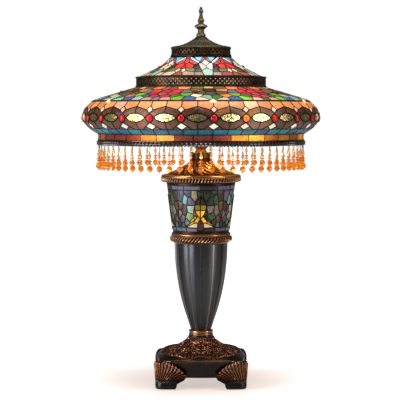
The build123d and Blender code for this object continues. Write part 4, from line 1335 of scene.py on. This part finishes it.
def scrolls(radius, degrees, down):
    """Relief from 0 to 1 on the slope. down is the distance below the neck. Each side carries two
    mirrored scrolls, a fan of leaf ribs under them, and small upright leaves at the neck."""
    b = (degrees + 45) % 90 - 45
    near = np.abs(b)[None, :]
    relief = np.zeros(np.broadcast_shapes(radius.shape, down.shape))
    for eye, depth, size, pitch in ((23.0, 24.0, 13.5, 6.2), (35.0, 41.0, 12.0, 5.6), (9.0, 39.0, 9.5, 5.0)):
        p = np.radians(near - eye) * radius
        q = down - depth
        rho, phi = np.hypot(p, q), np.arctan2(q, p)
        coil = ridge(rho / pitch - phi / (2 * np.pi), 1.1) * (1 - step(rho, size - 1.5, size + 1))
        rim_line = np.exp(-(((rho - size) / 1.1) ** 2))
        relief = np.maximum(relief, np.maximum(coil, rim_line * 0.95))
    strap = np.exp(-(((near * np.pi / 180 * radius - 0.95 * np.abs(down - 17)) / 1.3) ** 2))
    relief = np.maximum(relief, strap * step(down, 3, 7) * (1 - step(down, 26, 32)))
    leaves = ridge(near / 5.0 + 0.06 * down, 1.2) * step(down, 46, 50) * (1 - step(down, 58, 61))
    relief = np.maximum(relief, 0.85 * leaves)
    arcs = np.exp(-(((down - 60 - 3.0 * np.cos(np.radians((near - 17) * 9))) / 1.1) ** 2))
    relief = np.maximum(relief, arcs * (near < 42))
    neck = ridge(near / 11.25, 0.7) * step(down, 2, 4) * (1 - step(down, 9, 13))
    return np.maximum(relief, 0.8 * neck)


# %% The plinth
PLINTH_STEPS = 576
degrees = np.arange(PLINTH_STEPS) * 360 / PLINTH_STEPS
sections = smooth_line(PLINTH, 420)
slope_length = np.concatenate(([0], np.cumsum(np.hypot(np.diff(sections[:, 0]), np.diff(sections[:, 2])))))
stops = np.linspace(0, slope_length[-1], 96)
sections = np.stack([np.interp(stops, slope_length, sections[:, k]) for k in range(4)], -1)
down = (np.linspace(slope_length[-1], 0, 96))[:, None]
radius = plinth_radius(sections, degrees)
relief = scrolls(radius, degrees, down)
lip = np.exp(-(((sections[:, :1] - 51.0) / 1.0) ** 2)) * 0.6
scrolled = step(sections[:, :1], 50, 54) * (1 - step(sections[:, :1], 85, 88))
carved = radius + 2.3 * (relief - 0.6) * scrolled + lip
lift = 1.3 * relief * step(sections[:, :1], 54, 60) * (1 - step(sections[:, :1], 74, 84))
height = sections[:, :1] + lift
hollow = np.array([
    (87.9, 10.0, 10.0, 7.2), (78.0, 14.0, 17.0, 11.5), (64.0, 38.0, 42.0, 33.0), (50.0, 69.0, 72.0, 60.0),
    (26.6, 62.0, 66.0, 55.0), (26.4, 60.2, 64.2, 53.2), (20.0, 60.2, 64.2, 53.2),
])
inner = plinth_radius(hollow, degrees)
hollow_height = hollow[:, :1] + 0 * inner
shape = revolve(np.vstack((carved, inner)), np.vstack((height, hollow_height)), PLINTH_STEPS, loop=True)
points = shape[0]
SPOT_FACE, SPOT_RADIUS, CORD_HEIGHT = 75.95, 9.2, 42.0
near_cord = (np.hypot(points[:, 0], points[:, 2] - CORD_HEIGHT) < SPOT_RADIUS) & (points[:, 1] > 70)
points[near_cord, 1] = np.minimum(points[near_cord, 1], SPOT_FACE)
edge_wear = np.exp(-(((sections[:, :1] - 50.5) / 1.4) ** 2)) * 0.25
rubbed = step(sections[:, :1], 50, 53) * (1 - step(sections[:, :1], 86, 88))
wear = np.maximum(relief**2.0 * rubbed, edge_wear)
wear = np.vstack((wear * 0.95, np.zeros(inner.shape))).ravel()
add_piece("plinth", shape, "stand", bronze, ("foot_casting",), sharp=60, values={"wear": wear})


# %% [markdown]
# A shell clasps each corner of the plinth. It is one block: its outline is a quarter of a rounded
# square, its height follows the scalloped edge of the shell, and the fan's ribs are ridges that
# spread from the toe. The same block turned by quarter turns makes the other three.

# %% The shell feet
FOOT = np.array([
    (1.5, 46.0, 81.5), (6.0, 43.5, 82.6), (11.0, 42.5, 82.2), (16.0, 38.0, 82.4), (24.0, 30.0, 83.6),
    (34.0, 27.0, 84.2), (42.0, 27.0, 84.2), (50.0, 30.0, 82.6),
])
RIBS_EACH_SIDE = 8
u = np.linspace(0, np.pi / 2, 400)
arc = even_line(np.stack((np.sin(u) ** 0.4, np.cos(u) ** 0.4), -1), 161)
t = np.linspace(-1, 1, 161)[None, :]
levels = np.linspace(0, 1, 40)[:, None]
TOE = 11.0
fan = step(levels, 0.2, 0.42)
spread = 0.5 + 0.5 * step(levels, 0.2, 1.0)
rib = ridge(np.abs(t) * RIBS_EACH_SIDE / spread + 0.5, 0.9)
top = 50.5 - 21.0 * np.abs(t) ** 2.6 + 1.6 * rib
height = np.where(levels < 0.2, 1.5 + levels / 0.2 * (TOE - 1.5), TOE + (levels - 0.2) / 0.8 * (top - TOE))
near = np.interp(levels * 48.5 + 1.5, FOOT[:, 0], FOOT[:, 1])
far = np.interp(height, FOOT[:, 0], FOOT[:, 2])
curl = 1.6 * np.exp(-(((levels - 0.9) / 0.07) ** 2))
out = far + (2.0 * rib - 1.7) * fan + curl * 0.6 - 1.4 * step(levels, 0.95, 1.0)
width = out - near
x = near + width * arc[:, 0][None, :]
y = -(near + width * arc[:, 1][None, :])
side = np.linspace(0, 1, 12)[1:-1]
back_x = np.concatenate((1 - side, 0 * side))
back_y = np.concatenate((0 * side, side))
last = height[:, -1:]
x = np.hstack((x, near + (out[:, -1:] - near) * back_x))
y = np.hstack((y, -(near + (out[:, :1] - near) * back_y)))
z = np.hstack((height, last + 0 * x[:, 161:]))
rib_wear = np.hstack((np.clip(rib * fan * 0.95 + 0.05, 0, 1), np.zeros((40, 20))))
tucked = np.arange(x.shape[1])[None, :] < 161
centre = np.array((58.0, -58.0))
inward_x = x[-1:] + (centre[0] - x[-1:]) * 0.3 * tucked
inward_y = y[-1:] + (centre[1] - y[-1:]) * 0.3 * tucked
x, y, z = np.vstack((x, inward_x)), np.vstack((y, inward_y)), np.vstack((z, z[-1:] - 2.5))
rib_wear = np.vstack((rib_wear, 0.3 * rib_wear[-1:]))
columns = x.shape[1]
ring = np.arange(columns)
foot = (
    np.stack((x, y, z), -1).reshape(-1, 3),
    [grid_faces(len(x), columns), ring[::-1][None], ((len(x) - 1) * columns + ring)[None]],
)
foot = outward(foot)
feet = repeat(foot, turning((0, 90, 180, 270)))
wear = np.tile(rib_wear.ravel(), 4) ** 4.5 * 0.9
add_piece(
    "shell_feet_fans", feet, "stand", bronze, ("shell_feet",), sharp=50, values={"wear": wear}
)


# %% [markdown]
# Above the urn a bell spreads under the lights and lets the night light's heat out through slots.
# The CAD bell has the slots, so it stays. Curved ribs swirl over it like cast leaves: each is an
# oval section carried down the bell's slope while it turns round the axis.

# %% The bell's ribs
def swirl_rib(profile, twist, wide, thick, along=18, across=8):
    """At share f along the profile the rib is at angle twist * f. Its section is an oval that
    swells as sin(pi f) and thins to the ends."""
    line = even_line(smooth_line(profile, 60), along)
    f = np.linspace(0, 1, along)
    angle = np.radians(twist * f)
    middle = np.stack((line[:, 0] * np.sin(angle), -line[:, 0] * np.cos(angle), line[:, 1]), -1)
    run = np.gradient(middle, axis=0)
    run /= np.linalg.norm(run, axis=1, keepdims=True)
    slope = np.gradient(line, axis=0)
    slope /= np.linalg.norm(slope, axis=1, keepdims=True)
    normal = np.stack((-slope[:, 1] * np.sin(angle), slope[:, 1] * np.cos(angle), slope[:, 0]), -1)
    side = np.cross(run, normal)
    side /= np.linalg.norm(side, axis=1, keepdims=True)
    b = np.arange(across) * 2 * np.pi / across
    swell = (0.35 + 0.65 * np.sin(np.pi * f))[:, None, None]
    points = (
        middle[:, None]
        + side[:, None] * (np.cos(b) * wide)[None, :, None] * swell
        + normal[:, None] * (np.sin(b) * thick)[None, :, None] * swell
    ).reshape(-1, 3)
    ring = np.arange(across)
    last = (along - 1) * across + ring
    return outward((points, [grid_faces(along, across), ring[::-1][None], last[None]]))


swirl_line = [(20.5, 405.0), (24, 401.3), (30, 397.3), (42, 390.7), (52, 386.2), (60.5, 383.2)]
swirl = swirl_rib(swirl_line, 34, 2.3, 1.5)
ribs = repeat(swirl, turning(np.arange(24) * 15))
add_piece("bell_ribs", ribs, "stand", gilt, (), values={"wear": np.full(len(ribs[0]), 0.6)})


# %% [markdown]
# The cap and finial are spun and turned in a greyer bronze. The cap's slope carries shallow lobes,
# and the finial's knop is cut with small flutes, so light breaks up on both.

# %% Cap and finial
cap_outer = smooth_line([
    (54.4, 610.9), (54.6, 611.8), (53.0, 612.9), (49.0, 613.9), (45.0, 614.6), (40.0, 615.3), (34.0, 616.7),
    (27.0, 619.4), (22.0, 621.8), (17.0, 624.9), (13.0, 627.7), (10.6, 629.6), (9.6, 631.0), (4.6, 631.0),
], 90)
cap_inner = np.array([
    (4.6, 629.6), (9.0, 628.0), (14.0, 624.8), (22.0, 620.0), (34.0, 615.2), (53.0, 611.4), (54.0, 611.0)
])
a = np.arange(192)[None, :] / 192
lobed = step(cap_outer[:, :1], 14, 20) * (1 - step(cap_outer[:, :1], 34, 42))
lobes = ridge(24 * a, 0.7) * lobed
cap_z = cap_outer[:, 1:] + 0.8 * lobes - 0.3 * lobed
cap_r = np.vstack((cap_outer[:, :1] + 0 * a, cap_inner[:, :1] + 0 * a))
cap = revolve(cap_r, np.vstack((cap_z, cap_inner[:, 1:] + 0 * a)), 192, loop=True)
rim_wear = np.exp(-(((cap_outer[:, :1] - 48) / 7) ** 2)) * 0.7 + 0 * a
wear = np.vstack((np.maximum(lobes * 0.5, rim_wear), 0 * cap_inner[:, :1] + 0 * a)).ravel()
add_piece("vented_cap", cap, "cap", olive_bronze, ("heat_cap",), sharp=60, values={"wear": wear})

finial_line = smooth_line([
    (7.4, 631.0), (8.6, 632.4), (8.7, 634.6), (7.6, 636.4), (6.0, 637.6), (5.6, 639.4), (5.3, 641.6),
    (5.9, 644.2), (7.9, 645.8), (11.0, 648.4), (11.9, 650.0), (11.0, 651.6), (8.2, 653.4), (5.2, 655.2),
    (4.7, 656.6), (5.6, 658.2), (6.4, 659.8), (6.0, 661.4), (4.6, 663.6), (3.6, 667.6), (3.0, 671.8),
    (3.3, 674.2), (4.4, 676.0), (4.4, 677.8), (3.4, 679.4), (2.8, 681.2), (2.5, 683.4), (1.6, 684.7),
    (0.5, 685.0),
], 150)
a = np.arange(64)[None, :] / 64
knop = step(finial_line[:, 1:], 645, 648) * (1 - step(finial_line[:, 1:], 652, 655))
foot_leaves = step(finial_line[:, 1:], 636.5, 638.5) * (1 - step(finial_line[:, 1:], 643, 645))
flutes = ridge(16 * a, 0.6)
finial_r = finial_line[:, :1] - 0.7 * knop * (1 - flutes) + 0.5 * foot_leaves * ridge(8 * a, 0.6)
finial = revolve(finial_r, finial_line[:, 1:] + 0 * a, 64)
wear = np.clip(0.25 + 0.5 * knop * flutes + 0.35 * step(finial_line[:, :1], 4.5, 9) + 0 * a, 0, 1).ravel()
add_piece(
    "finial_turned", finial, "finial_body", olive_bronze, ("finial",),
    sharp=50, values={"wear": wear},
)


# %% [markdown]
# The parts that only do work keep their CAD shapes, and each still gets a finish of its own:
# plated steel for the pipe and nuts, cast iron for the weight, felt for the pads, moulded black
# plastic for the sockets, and frosted glass that glows for the bulbs.

# %% Felt, plastic and bulbs
def plain_stuff(name, dark, bright, scale, roughness, strength, distance, sheen=0.0):
    """A non-metal whose colour wanders between two tones, with a noise relief."""
    material, own, shader = new_material(name)
    place = node(own, "ShaderNodeTexCoord").outputs["Object"]
    cloud = node(own, "ShaderNodeTexNoise", {"Vector": place, "Scale": scale, "Detail": 6.0})
    grain_noise = node(own, "ShaderNodeTexNoise", {"Vector": place, "Scale": scale * 12, "Detail": 3.0})
    tone = mix_colour(own, cloud.outputs[0], linear(*dark), linear(*bright))
    own.links.new(tone, shader.inputs["Base Color"])
    rough_range = {"Value": grain_noise.outputs[0], 3: roughness - 0.08, 4: roughness + 0.08}
    spread = node(own, "ShaderNodeMapRange", rough_range)
    own.links.new(spread.outputs[0], shader.inputs["Roughness"])
    shader.inputs["Sheen Weight"].default_value = sheen
    bump(own, shader, grain_noise.outputs[0], strength, distance)
    return material


felt = plain_stuff("felt_pad", (28, 46, 34), (52, 74, 56), 120.0, 0.92, 0.9, 0.0006, 0.5)
plastic = plain_stuff("moulded_plastic", (14, 14, 15), (26, 26, 27), 70.0, 0.42, 0.25, 0.0002)
bulb_base = plain_stuff("bulb_base_white", (206, 198, 184), (232, 226, 214), 50.0, 0.5, 0.2, 0.0002)


def frosted_bulb(name, colour, strength):
    """Frosted glass: an even warm glow, a little cooler and patchy where the frosting is thick."""
    material, own, shader = new_material(name)
    place = node(own, "ShaderNodeTexCoord").outputs["Object"]
    cloud = node(own, "ShaderNodeTexNoise", {"Vector": place, "Scale": 45.0, "Detail": 2.0})
    tone = mix_colour(own, cloud.outputs[0], linear(*colour), linear(255, 226, 178))
    own.links.new(tone, shader.inputs["Base Color"])
    own.links.new(tone, shader.inputs["Emission Color"])
    shader.inputs["Emission Strength"].default_value = strength
    shader.inputs["Roughness"].default_value = 0.6
    bump(own, shader, cloud.outputs[0], 0.2, 0.0003)
    return material


warm_bulb = frosted_bulb("frosted_bulb", (255, 196, 120), 0.95)

finishes = {
    "felt_pads": felt, "clamp_plate": steel, "ballast_disc": iron, "clamp_nut": steel, "cord_bush": plastic,
    "urn_channels": copper, "night_bracket": brass, "night_socket": plastic, "vent_bell": gilt,
    "socket_cluster": brass, "lamp_pipe": steel, "riser_pipe": brass, "riser_seat_nut": brass,
    "finial_stud": steel, "inner_wire": plastic, "socket_caps": brass, "socket_cores": plastic,
    "socket_shells": brass, "bulb_bases": bulb_base, "bulbs": warm_bulb, "switch_knob_left": plastic,
    "switch_knob_right": plastic, "shade_spider": pierced_bronze,
}
for name, material in finishes.items():
    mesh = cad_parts[name].data
    mesh.materials.clear()
    mesh.materials.append(material)
shown_nodes = [name for name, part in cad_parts.items() if not part.hide_render]
left_over = sorted(set(shown_nodes) - set(finishes))
print("CAD nodes kept:", len(finishes), "without a finish:", left_over)


# %% [markdown]
# The lamp stands on a pale floor. Floor and world are bright where the camera looks straight at
# them, the world also where clear glass does, and both are much dimmer as lights, so that dark
# metal keeps its depth. Near the foot the floor's tone is darker, which stands for its shadow.
# Three soft boxes give the highlights, and three small warm lights stand in for the bulbs' light.

# %% Floor and world
bpy.ops.mesh.primitive_plane_add(size=60, location=(0, 0, 0))
floor = bpy.context.object
floor.name = "floor"
material, own, shader = new_material("floor_white")
shader.inputs["Base Color"].default_value = (0.58, 0.56, 0.54, 1)
shader.inputs["Roughness"].default_value = 0.22
shader.inputs["Emission Strength"].default_value = 1.0
flat_place = node(own, "ShaderNodeTexCoord").outputs["Object"]
reach = node(own, "ShaderNodeVectorMath", {0: flat_place}, operation="LENGTH").outputs["Value"]
rise = node(own, "ShaderNodeMapRange", {"Value": reach, 1: 0.1, 2: 0.36, 3: 0.0, 4: 1.0}).outputs[0]
# painted shadow: within about 0.36 m of the axis the floor's glow falls to a darker, warm tone
floor_tone_with_painted_shadow = mix_colour(own, rise, (0.6, 0.53, 0.49, 1), (1.0, 1.0, 1.0, 1))
shown = node(own, "ShaderNodeLightPath").outputs["Is Camera Ray"]
dim_share = node(own, "ShaderNodeMapRange", {"Value": shown, 3: 0.12, 4: 1.0}).outputs[0]
own.links.new(mix_colour(own, 1.0, floor_tone_with_painted_shadow, dim_share, "MULTIPLY"), shader.inputs["Emission Color"])
floor.data.materials.append(material)

world = bpy.data.worlds.new("studio")
bpy.context.scene.world = world
world.use_nodes = True
sky = world.node_tree
sky.nodes.clear()
path = node(sky, "ShaderNodeLightPath")
seen = math_node(sky, "MAXIMUM", path.outputs["Is Camera Ray"], path.outputs["Is Transmission Ray"])
power = node(sky, "ShaderNodeMapRange", {"Value": seen, 3: 0.1, 4: 1.05}).outputs[0]
background = node(sky, "ShaderNodeBackground", {"Color": (1, 1, 1, 1), "Strength": power})
sky.links.new(background.outputs[0], node(sky, "ShaderNodeOutputWorld").inputs[0])


# %% Lights
def aim(thing, target):
    """Turns an object's -Z axis towards a point."""
    away = np.array(target, float) - np.array(thing.location)
    flat = math.hypot(away[0], away[1])
    thing.rotation_euler = (math.atan2(flat, -away[2]), 0, math.atan2(-away[0], away[1]))


def soft_box(name, place, target, width, tall, watts, colour=(1, 1, 1)):
    """A rectangular area light."""
    lamp = bpy.data.lights.new(name, "AREA")
    lamp.shape = "RECTANGLE"
    lamp.size = width
    lamp.size_y = tall
    lamp.energy = watts
    lamp.color = colour
    holder = bpy.data.objects.new(name, lamp)
    holder.location = place
    aim(holder, target)
    bpy.context.scene.collection.objects.link(holder)


def small_light(name, place, watts, colour, radius):
    """A round warm light."""
    lamp = bpy.data.lights.new(name, "POINT")
    lamp.energy = watts
    lamp.color = colour
    lamp.shadow_soft_size = radius
    holder = bpy.data.objects.new(name, lamp)
    holder.location = place
    bpy.context.scene.collection.objects.link(holder)


WARM = (1.0, 0.6, 0.24)
soft_box("key_box", (-1.9, -1.1, 0.7), (0, 0, 0.32), 1.3, 1.5, 62, (0.92, 0.96, 1.0))
soft_box("fill_box", (2.0, -1.2, 0.9), (0, 0, 0.35), 0.6, 1.5, 26, (1.0, 0.92, 0.84))
soft_box("top_box", (0.2, -0.3, 2.3), (0, 0, 0.4), 1.4, 1.4, 50)
small_light("warm_left", (-0.055, -0.055, 0.445), 0.42, WARM, 0.02)
small_light("warm_right", (0.055, -0.055, 0.445), 0.42, WARM, 0.02)
small_light("warm_back", (0.0, 0.075, 0.445), 0.42, WARM, 0.02)

# %% Camera
eye_height = 0.499
distance = 2.75
aim_height = 0.335
camera_data = bpy.data.cameras.new("camera")
camera_data.sensor_width = 36.0
camera_data.lens = 136.0
camera = bpy.data.objects.new("camera", camera_data)
camera.location = (-0.0018, -distance, eye_height)
aim(camera, (-0.0018, 0, aim_height))
bpy.context.scene.collection.objects.link(camera)
bpy.context.scene.camera = camera
bpy.context.scene.view_settings.view_transform = "Standard"

# %% Sizes and the end
print("triangles in new pieces:", sum(made.values()))
